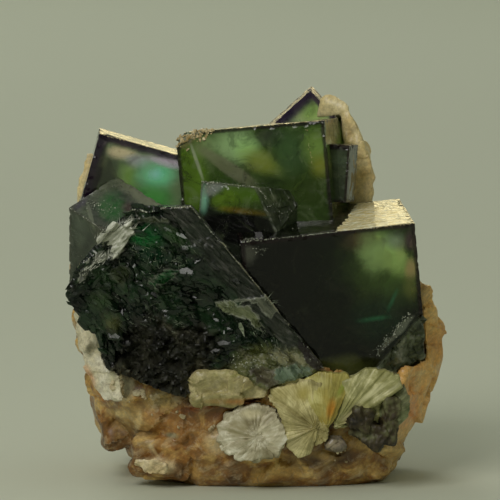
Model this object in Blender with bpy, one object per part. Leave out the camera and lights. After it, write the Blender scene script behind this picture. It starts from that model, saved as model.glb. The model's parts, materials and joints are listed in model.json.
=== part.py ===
"""Zoned fluorite cubes grown through each other on a feldspar matrix, a hand specimen about 44 mm tall.

Units are metres, +Z is up, and the front of the specimen faces -Y. The origin is at the middle of the
flat break that the matrix rests on. Sizes and places below are in millimetres and are scaled by MM.
"""

import math
from collections import namedtuple

import bmesh
import bpy
from mathutils import Euler, Matrix, Vector, noise

MM = 0.001

# Clearance between neighbouring minerals.
GAP = 0.3

# How far a sharp corner may move when a solid is grown, as a multiple of the growth.
LARGEST_SHELL_FACTOR = 2.5

# How far from a plane a point may lie and still count as on it.
FLAT = 0.01

# Fluorite cubes: centre, size along the cube's own axes, and turn about X, Y and Z in degrees.
Cube = namedtuple("Cube", "centre size turn")
FRONT_CUBE = Cube((8.5, -2.0, 21.1), (19.8, 17.5, 17.8), (3.8, -5.8, 3.7))
BACK_CUBE = Cube((1.2, 4.6, 33.1), (17.4, 12.2, 14.2), (-3.1, -5.9, -10.3))
BACK_LEFT_CUBE = Cube((-14.0, 4.2, 33.4), (9.4, 8.7, 10.4), (0.5, 15.6, -8.8))
MIDDLE_CUBE = Cube((0.0, -1.0, 29.0), (9.9, 10.3, 9.2), (-7.0, 3.5, -22.0))
LEFT_CUBE = Cube((-16.0, 0.2, 26.7), (7.2, 7.8, 12.0), (27.0, 24.5, -37.0))
SLIVER_CUBE = Cube((9.6, 1.6, 35.0), (3.4, 4.4, 6.6), (-3.5, 3.0, -14.0))
TOP_CUBE = Cube((5.3, 12.7, 39.5), (4.8, 4.2, 8.0), (6.0, 47.5, 2.0))

# Broken corners of the cubes: a point on the break and the direction it faces.
Break = namedtuple("Break", "point facing")
FRONT_CUBE_BREAKS = (
    Break((18.9, -10.9, 20.6), (0.55, -0.69, -0.47)),
    Break((19.8, -8.0, 15.4), (0.60, -0.20, -0.77)),
)
BACK_CUBE_BREAKS = (Break((-5.4, -1.0, 40.2), (-0.52, -0.15, 0.84)),)

# The broken cube: outline of its front in X and Z, clockwise from the top left.
BROKEN_OUTLINE = (
    (-14.6, 31.6),
    (-13.0, 32.5),
    (-7.1, 32.6),
    (-1.6, 26.1),
    (7.9, 14.3),
    (5.9, 13.2),
    (1.1, 12.0),
    (-3.4, 13.9),
    (-6.4, 13.7),
    (-7.7, 10.8),
    (-13.1, 12.6),
    (-16.7, 14.1),
    (-18.0, 18.3),
    (-21.4, 22.4),
    (-19.7, 26.1),
)
BROKEN_FRONT_Y = -14.0
BROKEN_DEPTH = 11.0
BROKEN_BACK_SCALE = 0.93
BROKEN_RIM = 1.3
BROKEN_RELIEF = 1.1
BROKEN_GRAIN = 2.6
BROKEN_LEVEL = 0.3
BROKEN_NOISE_SEED = 3.7

# Matrix cross-sections from the bottom up: height, left, right, front and back.
MATRIX_SECTIONS = (
    (0.0, -11.4, 15.2, -8.8, 9.8),
    (1.5, -13.0, 16.2, -9.9, 11.4),
    (3.2, -14.0, 16.8, -10.7, 12.2),
    (6.2, -15.2, 17.4, -11.3, 13.4),
    (7.6, -17.2, 17.8, -11.6, 13.6),
    (10.2, -18.8, 18.2, -11.8, 14.2),
    (13.0, -19.0, 18.2, -11.6, 14.0),
    (16.0, -19.3, 17.6, -10.6, 14.6),
    (20.0, -18.8, 15.0, -7.0, 14.2),
    (23.5, -17.6, 11.0, -2.5, 14.6),
    (26.5, -16.0, 8.4, 1.5, 14.0),
    (29.5, -13.5, 6.4, 5.5, 13.4),
)
MATRIX_POINTS_AROUND = 36
MATRIX_SQUARENESS = 2.7
MATRIX_RELIEF = 1.1
MATRIX_GRAIN = 4.2
MATRIX_NOISE_SEED = 11.0

# Blocky feldspars, as the corner points of their convex shapes.
FELDSPAR_BACK = (
    (8.6, 8.6, 43.2),
    (10.7, 7.6, 42.2),
    (13.5, 6.6, 36.0),
    (13.6, 6.8, 31.0),
    (13.4, 7.6, 20.5),
    (4.6, 9.8, 20.5),
    (4.0, 11.4, 35.5),
    (8.4, 13.4, 42.2),
    (12.8, 13.6, 36.6),
    (12.8, 13.4, 20.6),
    (5.0, 14.6, 34.0),
    (5.4, 14.8, 21.5),
)
FELDSPAR_RIGHT = (
    (19.2, -5.2, 23.0),
    (21.6, -3.4, 17.9),
    (21.3, -3.2, 14.3),
    (19.1, -5.0, 9.3),
    (17.8, -5.6, 5.2),
    (16.0, -6.0, 3.6),
    (14.4, -8.8, 4.0),
    (14.4, -9.4, 7.2),
    (17.0, -8.6, 12.6),
    (17.2, 5.5, 21.6),
    (20.2, 4.6, 16.4),
    (19.2, 5.8, 8.4),
    (15.0, 5.2, 4.4),
)
FELDSPAR_LEFT_BACK = (
    (-19.6, 9.3, 36.8),
    (-20.7, 9.4, 32.0),
    (-19.8, 9.6, 18.5),
    (-16.8, 9.9, 36.2),
    (-15.4, 10.4, 18.0),
    (-18.6, 12.6, 35.6),
    (-18.8, 13.6, 19.0),
    (-16.4, 12.8, 34.4),
    (-14.6, 14.4, 18.6),
)
WHITE_CRYSTAL_LEFT = (
    (-20.6, -9.6, 20.8),
    (-19.2, -11.2, 20.4),
    (-16.7, -11.8, 13.4),
    (-15.1, -12.4, 12.4),
    (-14.9, -12.2, 10.4),
    (-17.0, -10.8, 10.2),
    (-18.9, -9.6, 13.2),
    (-20.1, -8.6, 17.0),
    (-18.4, -4.8, 20.2),
    (-17.4, -5.2, 11.0),
)
MICA_BLOCK = (
    (-6.9, -13.4, 13.6),
    (-2.9, -13.7, 14.2),
    (1.2, -13.4, 12.0),
    (1.1, -13.2, 11.0),
    (-2.0, -12.9, 10.0),
    (-6.9, -12.6, 10.1),
    (-6.6, -9.4, 13.4),
    (0.8, -9.4, 12.2),
    (-6.2, -9.4, 10.4),
    (0.4, -9.4, 10.6),
)
MICA_FAN_CENTRE = (
    (4.5, -12.4, 4.2),
    (1.7, -13.5, 12.1),
    (4.7, -13.9, 13.2),
    (8.1, -13.6, 12.4),
    (8.3, -13.0, 6.0),
    (4.4, -9.6, 5.0),
    (2.6, -9.2, 12.2),
    (8.0, -9.2, 12.6),
    (7.4, -9.4, 6.4),
)
MICA_FAN_RIGHT = (
    (9.0, -12.6, 7.2),
    (9.2, -13.2, 12.4),
    (12.1, -13.6, 13.4),
    (15.9, -13.0, 13.2),
    (15.8, -12.6, 11.6),
    (14.2, -12.4, 7.9),
    (9.4, -9.4, 8.0),
    (9.6, -9.2, 12.6),
    (15.2, -9.0, 12.6),
    (13.8, -9.2, 8.4),
)
WHITE_GRAIN = (
    (-13.4, -10.3, 3.3),
    (-11.4, -11.3, 3.5),
    (-9.8, -11.1, 2.9),
    (-10.2, -11.0, 1.8),
    (-12.4, -10.6, 1.9),
    (-13.0, -8.8, 2.7),
    (-10.2, -8.8, 2.6),
)

# Short black prisms, grown into one clump: centre, size and turn, as for the cubes.
DARK_PRISMS = (
    Cube((11.9, -12.7, 8.5), (2.3, 2.6, 2.3), (8.0, 20.0, 12.0)),
    Cube((13.1, -12.1, 6.7), (3.6, 2.6, 2.3), (-6.0, 34.0, -8.0)),
    Cube((15.1, -11.9, 8.2), (1.7, 2.8, 5.2), (4.0, 6.0, 10.0)),
)

# The radiating disc: centre, half-width, half-height, thickness and how it leans back.
ROSETTE_CENTRE = (-0.3, -12.6, 6.7)
ROSETTE_HALF_WIDTH = 3.8
ROSETTE_HALF_HEIGHT = 3.1
ROSETTE_THICKNESS = 2.2
ROSETTE_LEAN = -8.0
ROSETTE_BLADES = 13
ROSETTE_SCALLOP = 0.07

GREY_GRAIN_CENTRE = (9.2, -11.9, 5.4)
GREY_GRAIN_SIZE = (2.5, 2.2, 1.7)

# Finishes: base colour, roughness and transmission.
Finish = namedtuple("Finish", "colour roughness transmission")
FLUORITE_GREEN = Finish((0.05, 0.16, 0.06), 0.12, 0.9)
FELDSPAR_AMBER = Finish((0.48, 0.26, 0.10), 0.62, 0.0)
FELDSPAR_CREAM = Finish((0.76, 0.58, 0.30), 0.55, 0.0)
FELDSPAR_ORANGE = Finish((0.62, 0.33, 0.14), 0.58, 0.0)
QUARTZ_WHITE = Finish((0.72, 0.69, 0.58), 0.45, 0.0)
MICA_SILK = Finish((0.46, 0.46, 0.28), 0.38, 0.0)
MICA_TAN = Finish((0.60, 0.48, 0.30), 0.50, 0.0)
ROSETTE_WHITE = Finish((0.66, 0.65, 0.55), 0.42, 0.0)
SCHORL_BLACK = Finish((0.03, 0.03, 0.02), 0.35, 0.0)
GRAIN_GREY = Finish((0.30, 0.28, 0.28), 0.55, 0.0)


def clear_scene():
    """Remove every object of the open file."""
    for obj in list(bpy.data.objects):
        bpy.data.objects.remove(obj, do_unlink=True)


def make_finish(name, finish):
    """A Principled material with a mineral's own colour."""
    material = bpy.data.materials.new(name)
    material.use_nodes = True
    shader = material.node_tree.nodes["Principled BSDF"]
    shader.inputs["Base Color"].default_value = (*finish.colour, 1.0)
    shader.inputs["Roughness"].default_value = finish.roughness
    shader.inputs["Metallic"].default_value = 0.0
    shader.inputs["Transmission Weight"].default_value = finish.transmission
    return material


def grow_solid(bm, grow):
    """Move every face of a closed solid outwards by grow, through its points' normals."""
    bm.normal_update()
    moves = [vert.normal * grow * min(vert.calc_shell_factor(), LARGEST_SHELL_FACTOR) for vert in bm.verts]
    for vert, move in zip(bm.verts, moves):
        vert.co += move


def object_from(bm, name, material, grow=0.0):
    """Turn a bmesh in millimetres into an object in metres, larger by grow on every side."""
    bmesh.ops.recalc_face_normals(bm, faces=bm.faces)
    grow_solid(bm, grow)
    bmesh.ops.scale(bm, vec=(MM, MM, MM), verts=bm.verts)
    mesh = bpy.data.meshes.new(name)
    bm.to_mesh(mesh)
    bm.free()
    obj = bpy.data.objects.new(name, mesh)
    bpy.context.scene.collection.objects.link(obj)
    obj.data.materials.append(material)
    return obj


def cube_matrix(cube):
    """Place, turn and size of a cube."""
    turn = Euler([math.radians(angle) for angle in cube.turn]).to_matrix().to_4x4()
    return Matrix.Translation(cube.centre) @ turn @ Matrix.Diagonal((*cube.size, 1.0))


def cut_break(bm, corner):
    """Cut a broken corner off a convex solid and close the cut."""
    geometry = bm.verts[:] + bm.edges[:] + bm.faces[:]
    plane = {"plane_co": corner.point, "plane_no": corner.facing, "clear_outer": True}
    cut = bmesh.ops.bisect_plane(bm, geom=geometry, **plane)
    rim = [item for item in cut["geom_cut"] if isinstance(item, bmesh.types.BMEdge)]
    bmesh.ops.holes_fill(bm, edges=rim, sides=0)


def make_cube(name, material, cube, breaks=(), grow=0.0):
    """One cube, with the corners that are broken off it."""
    bm = bmesh.new()
    bmesh.ops.create_cube(bm, size=1.0, matrix=cube_matrix(cube))
    for corner in breaks:
        cut_break(bm, corner)
    return object_from(bm, name, material, grow)


def relief_at(point, grain, seed):
    """Smooth three-dimensional noise between about -1 and 1, the same on every run."""
    return noise.noise(Vector(point) / grain + Vector((seed, seed, seed)))


def make_broken_cube(name, material, grow=0.0):
    """The big cube whose front is a stepped fracture, with a flat rim left along its edges."""
    middle = sum((Vector(point) for point in BROKEN_OUTLINE), Vector((0.0, 0.0))) / len(BROKEN_OUTLINE)
    bm = bmesh.new()
    front = []
    for x, z in BROKEN_OUTLINE:
        front.append(bm.verts.new((x, BROKEN_FRONT_Y, z)))
    face = bm.faces.new(front)
    extruded = bmesh.ops.extrude_face_region(bm, geom=[face])
    back = [item for item in extruded["geom"] if isinstance(item, bmesh.types.BMVert)]
    for vert in back:
        vert.co.x = middle.x + (vert.co.x - middle.x) * BROKEN_BACK_SCALE
        vert.co.z = middle.y + (vert.co.z - middle.y) * BROKEN_BACK_SCALE
        vert.co.y += BROKEN_DEPTH
    inset = bmesh.ops.inset_region(bm, faces=[face], thickness=BROKEN_RIM, use_even_offset=True)
    bmesh.ops.triangulate(bm, faces=[face] + inset["faces"])
    roughen_fracture(bm)
    return object_from(bm, name, material, grow)


def roughen_fracture(bm):
    """Split the front inside the rim and push its points in and out."""
    limit = BROKEN_FRONT_Y + FLAT
    bm.verts.ensure_lookup_table()
    inner = {face for face in bm.faces if all(vert.co.y < limit for vert in face.verts)}
    edges = {edge for face in inner for edge in face.edges if all(f in inner for f in edge.link_faces)}
    bmesh.ops.subdivide_edges(bm, edges=list(edges), cuts=2, use_grid_fill=True)
    for vert in bm.verts:
        if all(neighbour.co.y < limit for face in vert.link_faces for neighbour in face.verts):
            vert.co.y += BROKEN_RELIEF * (BROKEN_LEVEL + relief_at(vert.co, BROKEN_GRAIN, BROKEN_NOISE_SEED))
    bmesh.ops.triangulate(bm, faces=bm.faces)


def make_matrix(name, material):
    """The matrix block, lofted through its cross-sections with a rough skin and a flat underside."""
    bm = bmesh.new()
    rings = [matrix_ring(bm, *section) for section in MATRIX_SECTIONS]
    for low, high in zip(rings, rings[1:]):
        count = len(low)
        for i in range(count):
            j = (i + 1) % count
            bm.faces.new((low[i], low[j], high[j], high[i]))
    bm.faces.new(rings[-1])
    bm.faces.new(list(reversed(rings[0])))
    bmesh.ops.triangulate(bm, faces=bm.faces)
    return object_from(bm, name, material)


def matrix_ring(bm, height, left, right, front, back):
    """One rounded-square cross-section with its noise."""
    ring = []
    power = 2.0 / MATRIX_SQUARENESS
    centre = Vector(((left + right) / 2.0, (front + back) / 2.0, height))
    for i in range(MATRIX_POINTS_AROUND):
        angle = 2.0 * math.pi * i / MATRIX_POINTS_AROUND
        side = math.copysign(abs(math.cos(angle)) ** power, math.cos(angle))
        depth = math.copysign(abs(math.sin(angle)) ** power, math.sin(angle))
        offset = Vector((side * (right - left) / 2.0, depth * (back - front) / 2.0, 0.0))
        rough = MATRIX_RELIEF * relief_at(centre + offset, MATRIX_GRAIN, MATRIX_NOISE_SEED)
        ring.append(bm.verts.new(centre + offset + offset.normalized() * rough))
    return ring


def make_block(name, material, corners, grow=0.0):
    """A blocky crystal: the convex shape over its corner points."""
    bm = bmesh.new()
    for corner in corners:
        bm.verts.new(corner)
    hull = bmesh.ops.convex_hull(bm, input=bm.verts)
    spare = [item for item in hull["geom_interior"] if isinstance(item, bmesh.types.BMVert)]
    bmesh.ops.delete(bm, geom=spare, context="VERTS")
    return object_from(bm, name, material, grow)


def make_rosette(name, material, grow=0.0):
    """The radiating disc: a shallow dome with a scalloped edge."""
    bm = bmesh.new()
    around = ROSETTE_BLADES * 4
    half = ROSETTE_THICKNESS / 2.0
    rings = []
    for reach, depth in ((1.0, half), (1.0, -0.45 * half), (0.62, -0.85 * half)):
        ring = []
        for i in range(around):
            angle = 2.0 * math.pi * i / around
            wave = 1.0 + ROSETTE_SCALLOP * math.cos(ROSETTE_BLADES * angle)
            x = ROSETTE_HALF_WIDTH * wave * reach * math.cos(angle)
            z = ROSETTE_HALF_HEIGHT * wave * reach * math.sin(angle)
            ring.append(bm.verts.new((x, depth, z)))
        rings.append(ring)
    for low, high in zip(rings, rings[1:]):
        for i in range(around):
            j = (i + 1) % around
            bm.faces.new((low[i], low[j], high[j], high[i]))
    bm.faces.new(rings[0])
    tip = bm.verts.new((0.0, -half, 0.0))
    for i in range(around):
        bm.faces.new((rings[-1][i], rings[-1][(i + 1) % around], tip))
    place = Matrix.Translation(ROSETTE_CENTRE) @ Matrix.Rotation(math.radians(ROSETTE_LEAN), 4, "X")
    bmesh.ops.transform(bm, matrix=place, verts=bm.verts)
    bmesh.ops.triangulate(bm, faces=bm.faces)
    return object_from(bm, name, material, grow)


def make_grey_grain(name, material, grow=0.0):
    """The rounded grey grain."""
    place = Matrix.Translation(GREY_GRAIN_CENTRE) @ Matrix.Diagonal((*GREY_GRAIN_SIZE, 1.0))
    bm = bmesh.new()
    bmesh.ops.create_icosphere(bm, subdivisions=2, radius=0.5, matrix=place)
    return object_from(bm, name, material, grow)


def combine(obj, other, operation):
    """Apply a Boolean of obj with other to obj's mesh, and remove other."""
    modifier = obj.modifiers.new(operation.lower(), "BOOLEAN")
    modifier.operation = operation
    modifier.solver = "EXACT"
    modifier.object = other
    depsgraph = bpy.context.evaluated_depsgraph_get()
    mesh = bpy.data.meshes.new_from_object(obj.evaluated_get(depsgraph))
    obj.modifiers.clear()
    obj.data = mesh
    bpy.data.objects.remove(other, do_unlink=True)


def cluster_parts(material, grow=0.0):
    """The cubes of the cluster as separate solids."""
    return [
        make_cube("front_cube", material, FRONT_CUBE, FRONT_CUBE_BREAKS, grow),
        make_broken_cube("broken_cube", material, grow),
        make_cube("back_cube", material, BACK_CUBE, BACK_CUBE_BREAKS, grow),
        make_cube("middle_cube", material, MIDDLE_CUBE, (), grow),
        make_cube("back_left_cube", material, BACK_LEFT_CUBE, (), grow),
        make_cube("left_cube", material, LEFT_CUBE, (), grow),
        make_cube("sliver_cube", material, SLIVER_CUBE, (), grow),
    ]


def dark_parts(material, grow=0.0):
    """The black prisms as separate solids."""
    return [make_cube("dark_prism", material, prism, (), grow) for prism in DARK_PRISMS]


def join_parts(name, parts):
    """One solid from parts that grew through each other."""
    whole = parts[0]
    whole.name = name
    for part in parts[1:]:
        combine(whole, part, "UNION")
    return whole


def make_room(obj, *makers):
    """Cut the space of each neighbour, grown by the clearance, out of a mineral."""
    material = obj.data.materials[0]
    for maker in makers:
        grown = maker(material)
        for cutter in grown if isinstance(grown, list) else [grown]:
            combine(obj, cutter, "DIFFERENCE")


def grown_block(corners):
    """A maker of a block's cutter."""
    return lambda material: make_block("cutter", material, corners, GAP)


def grown_cluster(material):
    """Cutters for the whole fluorite cluster."""
    return cluster_parts(material, GAP)


def grown_top_cube(material):
    """Cutter for the top crystal."""
    return make_cube("cutter", material, TOP_CUBE, (), GAP)


def grown_dark(material):
    """Cutters for the black prisms."""
    return dark_parts(material, GAP)


def grown_rosette(material):
    """Cutter for the rosette."""
    return make_rosette("cutter", material, GAP)


def grown_grey_grain(material):
    """Cutter for the grey grain."""
    return make_grey_grain("cutter", material, GAP)


def main():
    """Build every mineral, each in its own place, from the crystals down to the matrix."""
    clear_scene()
    fluorite = make_finish("fluorite_green", FLUORITE_GREEN)
    cream = make_finish("feldspar_cream", FELDSPAR_CREAM)
    silk = make_finish("mica_silk", MICA_SILK)
    white = make_finish("quartz_white", QUARTZ_WHITE)

    join_parts("fluorite_cluster", cluster_parts(fluorite))
    top = make_cube("fluorite_top_crystal", fluorite, TOP_CUBE)
    make_room(top, grown_cluster)

    rosette = make_rosette("white_rosette", make_finish("rosette_white", ROSETTE_WHITE))
    make_room(rosette, grown_cluster)
    dark = join_parts("dark_crystals", dark_parts(make_finish("schorl_black", SCHORL_BLACK)))
    make_room(dark, grown_cluster)
    grey = make_grey_grain("grey_grain", make_finish("grain_grey", GRAIN_GREY))
    make_room(grey, grown_dark)

    fan_centre = make_block("mica_fan_centre", silk, MICA_FAN_CENTRE)
    make_room(fan_centre, grown_cluster, grown_rosette, grown_grey_grain)
    fan_right = make_block("mica_fan_right", silk, MICA_FAN_RIGHT)
    make_room(fan_right, grown_cluster, grown_dark, grown_grey_grain, grown_block(MICA_FAN_CENTRE))
    block = make_block("mica_block", make_finish("mica_tan", MICA_TAN), MICA_BLOCK)
    make_room(block, grown_cluster, grown_rosette, grown_block(MICA_FAN_CENTRE))

    white_left = make_block("white_crystal_left", white, WHITE_CRYSTAL_LEFT)
    make_room(white_left, grown_cluster)
    make_block("white_grain", white, WHITE_GRAIN)

    back = make_block("feldspar_back", cream, FELDSPAR_BACK)
    make_room(back, grown_cluster, grown_top_cube)
    right = make_block("feldspar_right", make_finish("feldspar_orange", FELDSPAR_ORANGE), FELDSPAR_RIGHT)
    make_room(right, grown_cluster, grown_dark, grown_block(MICA_FAN_RIGHT))
    left_back = make_block("feldspar_left_back", cream, FELDSPAR_LEFT_BACK)
    make_room(left_back, grown_cluster)

    matrix = make_matrix("feldspar_matrix", make_finish("feldspar_amber", FELDSPAR_AMBER))
    blocks = (
        MICA_FAN_CENTRE,
        MICA_FAN_RIGHT,
        MICA_BLOCK,
        WHITE_CRYSTAL_LEFT,
        WHITE_GRAIN,
        FELDSPAR_BACK,
        FELDSPAR_RIGHT,
        FELDSPAR_LEFT_BACK,
    )
    make_room(matrix, grown_cluster, grown_top_cube, grown_rosette, grown_dark, grown_grey_grain)
    make_room(matrix, *[grown_block(corners) for corners in blocks])


main()
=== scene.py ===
"""The looks of a hand specimen: zoned fluorite cubes grown through each other on a feldspar matrix.

Lengths are in millimetres and angles in degrees unless a name says otherwise; meshes and shader
values are in metres. The front faces -Y.
"""

import json
import logging
import math
import random
from collections.abc import Callable
from dataclasses import dataclass, field, replace
from enum import Enum

import bpy
import numpy as np
from mathutils import Euler, Matrix, Vector, noise
from mathutils.bvhtree import BVHTree

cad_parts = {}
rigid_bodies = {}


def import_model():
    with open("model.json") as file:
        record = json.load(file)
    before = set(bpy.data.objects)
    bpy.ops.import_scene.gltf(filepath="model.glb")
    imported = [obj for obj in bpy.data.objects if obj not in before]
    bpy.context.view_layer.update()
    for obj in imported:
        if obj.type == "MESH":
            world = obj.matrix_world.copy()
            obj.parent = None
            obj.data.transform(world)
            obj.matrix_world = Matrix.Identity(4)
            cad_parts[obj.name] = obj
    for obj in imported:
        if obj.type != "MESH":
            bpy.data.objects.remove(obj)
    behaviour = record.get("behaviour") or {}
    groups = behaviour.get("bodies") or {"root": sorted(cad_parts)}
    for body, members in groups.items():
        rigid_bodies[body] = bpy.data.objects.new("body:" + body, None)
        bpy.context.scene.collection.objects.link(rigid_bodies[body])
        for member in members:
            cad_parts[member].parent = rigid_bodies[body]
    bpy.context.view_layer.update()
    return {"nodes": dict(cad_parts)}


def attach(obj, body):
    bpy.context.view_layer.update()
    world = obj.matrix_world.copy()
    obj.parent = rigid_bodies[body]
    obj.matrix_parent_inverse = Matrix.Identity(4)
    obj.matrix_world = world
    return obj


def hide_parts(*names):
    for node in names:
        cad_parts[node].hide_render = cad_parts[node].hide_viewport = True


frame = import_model()

LOG = logging.getLogger("specimen")
MM = 0.001
AT_ONCE = 4000
DEEP = 60.0
Colour = tuple[float, float, float]
Triple = tuple[float, float, float]
Socket = bpy.types.NodeSocket
Piece = bpy.types.Object


def tint(red: float, green: float, blue: float) -> Colour:
    """A display colour from 0 to 255 as a linear one."""
    parts = (value / 255.0 for value in (red, green, blue))
    return tuple(part / 12.92 if part < 0.04 else ((part + 0.055) / 1.055) ** 2.4 for part in parts)


BACKDROP_LIGHT = tint(160, 163, 141)


def through(red: float, green: float, blue: float) -> Colour:
    """The tint of a clear crystal that shows this display colour before the backdrop."""
    return tuple(min(1.0, part / light) for part, light in zip(tint(red, green, blue), BACKDROP_LIGHT))


def shown(red: float, green: float, blue: float) -> Colour:
    """The albedo of a rough face that shows this display colour under the studio's lights."""
    parts = tint(red, green, blue)
    gain = min(1.9, 0.92 / max(parts))
    return tuple(part * gain for part in parts)


def metres(values: tuple[float, ...]) -> tuple[float, ...]:
    """Millimetres as metres."""
    return tuple(value * MM for value in values)


def radians(turn: Triple) -> list[float]:
    """Degrees as radians."""
    return [math.radians(angle) for angle in turn]


# Shaping tools


def select_only(piece: Piece) -> None:
    """Make a piece the only selected and active one."""
    bpy.ops.object.select_all(action="DESELECT")
    piece.select_set(True)
    bpy.context.view_layer.objects.active = piece


def settle(piece: Piece) -> Piece:
    """Put a piece's place, turn and scale into its mesh."""
    select_only(piece)
    bpy.ops.object.transform_apply(location=True, rotation=True, scale=True)
    return piece


def modify(piece: Piece, kind: str, **settings: object) -> Piece:
    """Apply one modifier of a kind, with these settings, to a piece."""
    modifier = piece.modifiers.new(kind.lower(), kind)
    for key, value in settings.items():
        setattr(modifier, key, value)
    select_only(piece)
    bpy.ops.object.modifier_apply(modifier=modifier.name)
    return piece


def primitive(operator: Callable[..., set[str]], name: str, **settings: object) -> Piece:
    """Add one of Blender's own shapes and name it."""
    bpy.ops.object.select_all(action="DESELECT")
    operator(**settings)
    piece = bpy.context.active_object
    piece.name = name
    return piece


def cut_off(piece: Piece, *planes: tuple[Triple, Triple]) -> Piece:
    """Cut a piece at planes, each a point in metres and the way that the lost part lies."""
    bpy.ops.object.mode_set(mode="EDIT")
    for point, facing in planes:
        bpy.ops.mesh.select_all(action="SELECT")
        bpy.ops.mesh.bisect(plane_co=point, plane_no=facing, use_fill=True, clear_outer=True)
    bpy.ops.object.mode_set(mode="OBJECT")
    return piece


def copy_node(node: str, name: str) -> Piece:
    """Copy a CAD node's solid with its loose triangles joined.

    Args:
        node: the CAD node's name.
        name: the new piece's name.

    Returns:
        The new piece, in the node's place.
    """
    piece = bpy.data.objects.new(name, frame["nodes"][node].data.copy())
    bpy.context.scene.collection.objects.link(piece)
    piece.data.materials.clear()
    select_only(piece)
    bpy.ops.object.mode_set(mode="EDIT")
    bpy.ops.mesh.select_all(action="SELECT")
    bpy.ops.mesh.remove_doubles(threshold=0.000002)
    bpy.ops.mesh.customdata_custom_splitnormals_clear()
    bpy.ops.object.mode_set(mode="OBJECT")
    return piece


def voxel_remesh(piece: Piece, size: float) -> Piece:
    """Rebuild a piece's skin as an even grid of small faces, size in millimetres."""
    return modify(piece, "REMESH", mode="VOXEL", voxel_size=size * MM)


def points_of(piece: Piece) -> np.ndarray:
    """A piece's points in millimetres, one a row."""
    flat = np.empty(len(piece.data.vertices) * 3)
    piece.data.vertices.foreach_get("co", flat)
    return flat.reshape(-1, 3) / MM


def normals_of(piece: Piece) -> np.ndarray:
    """A piece's point normals, one a row."""
    flat = np.empty(len(piece.data.vertices) * 3)
    piece.data.vertices.foreach_get("normal", flat)
    return flat.reshape(-1, 3)


def move_points(piece: Piece, points: np.ndarray) -> None:
    """Write points in millimetres back to a piece."""
    piece.data.vertices.foreach_set("co", (points * MM).ravel())
    piece.data.update()


def smooth_by_angle(piece: Piece, angle: float) -> Piece:
    """Shade a piece smooth, with sharp edges above an angle."""
    select_only(piece)
    bpy.ops.object.shade_smooth_by_angle(angle=math.radians(angle))
    return piece


def dress(piece: Piece, material: bpy.types.Material, angle: float | None = None) -> Piece:
    """Give a piece a material and, where an angle is given, smooth shading."""
    if angle is not None:
        smooth_by_angle(piece, angle)
    piece.data.materials.append(material)
    return piece


def slab(name: str, corners: list[Triple], thickness: float, taper: float = 1.0) -> Piece:
    """An outline drawn as a face and extruded towards the back.

    Args:
        name: the new piece's name.
        corners: the outline, in millimetres.
        thickness: how far it reaches back.
        taper: the back's width and height, as a share of the front's.

    Returns:
        The closed slab.
    """
    piece = primitive(
        bpy.ops.mesh.primitive_circle_add, name, vertices=len(corners), radius=1.0, fill_type="NGON"
    )
    move_points(piece, np.array(corners))
    bpy.ops.object.mode_set(mode="EDIT")
    bpy.ops.mesh.select_all(action="SELECT")
    bpy.ops.mesh.extrude_region_move(TRANSFORM_OT_translate={"value": (0.0, thickness * MM, 0.0)})
    if taper < 1.0:
        middle = np.mean(corners, axis=0) * MM
        bpy.ops.transform.resize(value=(taper, 1.0, taper), center_override=(middle[0], 0.0, middle[2]))
    bpy.ops.mesh.select_all(action="SELECT")
    bpy.ops.mesh.normals_make_consistent(inside=False)
    bpy.ops.object.mode_set(mode="OBJECT")
    return piece


def store(piece: Piece, name: str, values: np.ndarray) -> None:
    """Keep one number a point with the mesh, for a finish to read."""
    layer = piece.data.attributes.new(name, "FLOAT", "POINT")
    layer.data.foreach_set("value", values.astype(np.float32))


def ease(values: np.ndarray, low: float, high: float) -> np.ndarray:
    """A smooth step from 0 at low to 1 at high."""
    share = np.clip((values - low) / (high - low), 0.0, 1.0)
    return share * share * (3.0 - 2.0 * share)


def field_noise(points: np.ndarray, grain: float, seed: float, octaves: int = 1) -> np.ndarray:
    """Smooth noise between about -1 and 1 at each point.

    Args:
        points: one point a row.
        grain: the size of the largest swellings.
        seed: moves the pattern.
        octaves: how many finer layers are added.

    Returns:
        One value a point.
    """
    shift = Vector((seed, seed * 1.7, seed * 0.6))
    total = np.zeros(len(points))
    for layer in range(octaves):
        finer = 2.1 ** layer
        total += [noise.noise(Vector(point) * (finer / grain) + shift) / finer for point in points]
    return total


def line_distance(points: np.ndarray, start: tuple[float, float], end: tuple[float, float]) -> np.ndarray:
    """How far each point lies from a line's stretch, seen from the front.

    Args:
        points: one point a row.
        start: the stretch's first end, across and up.
        end: its other end.

    Returns:
        The distances.
    """
    flat = points[:, (0, 2)] - np.array(start)
    way = np.array(end) - np.array(start)
    share = np.clip(flat @ way / (way @ way), 0.0, 1.0)
    return np.linalg.norm(flat - share[:, None] * way, axis=1)


@dataclass(frozen=True)
class Facets:
    """Flat chips of a broken surface: each cell of a random net leans its own way.

    The net is laid over two directions, and `stretch` lengthens its cells along the first.
    """

    along: Triple
    across: Triple
    cell: float
    lean: float
    step: float
    stretch: float = 1.0
    seed: int = 1

    def relief(self, points: np.ndarray) -> np.ndarray:
        """Find how far each point moves.

        Args:
            points: one point a row, in millimetres.

        Returns:
            The height in millimetres for each point.
        """
        first, second = points @ np.array(self.along) / self.stretch, points @ np.array(self.across)
        flat = np.stack([first, second], axis=1)
        low, high = flat.min(axis=0) - self.cell, flat.max(axis=0) + self.cell
        draw = np.random.default_rng(self.seed)
        count = int(np.prod((high - low) / self.cell)) + 1
        middles = draw.uniform(low, high, (count, 2))
        leans = draw.normal(0.0, self.lean, (count, 2))
        steps = draw.uniform(-self.step, self.step, count)
        nearest = np.zeros(len(flat), dtype=int)
        for start in range(0, len(flat), AT_ONCE):
            part = flat[start:start + AT_ONCE]
            gaps = ((part[:, None, :] - middles[None, :, :]) ** 2).sum(axis=2)
            nearest[start:start + AT_ONCE] = gaps.argmin(axis=1)
        offset = flat - middles[nearest]
        return (offset * leans[nearest]).sum(axis=1) + steps[nearest]


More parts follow.
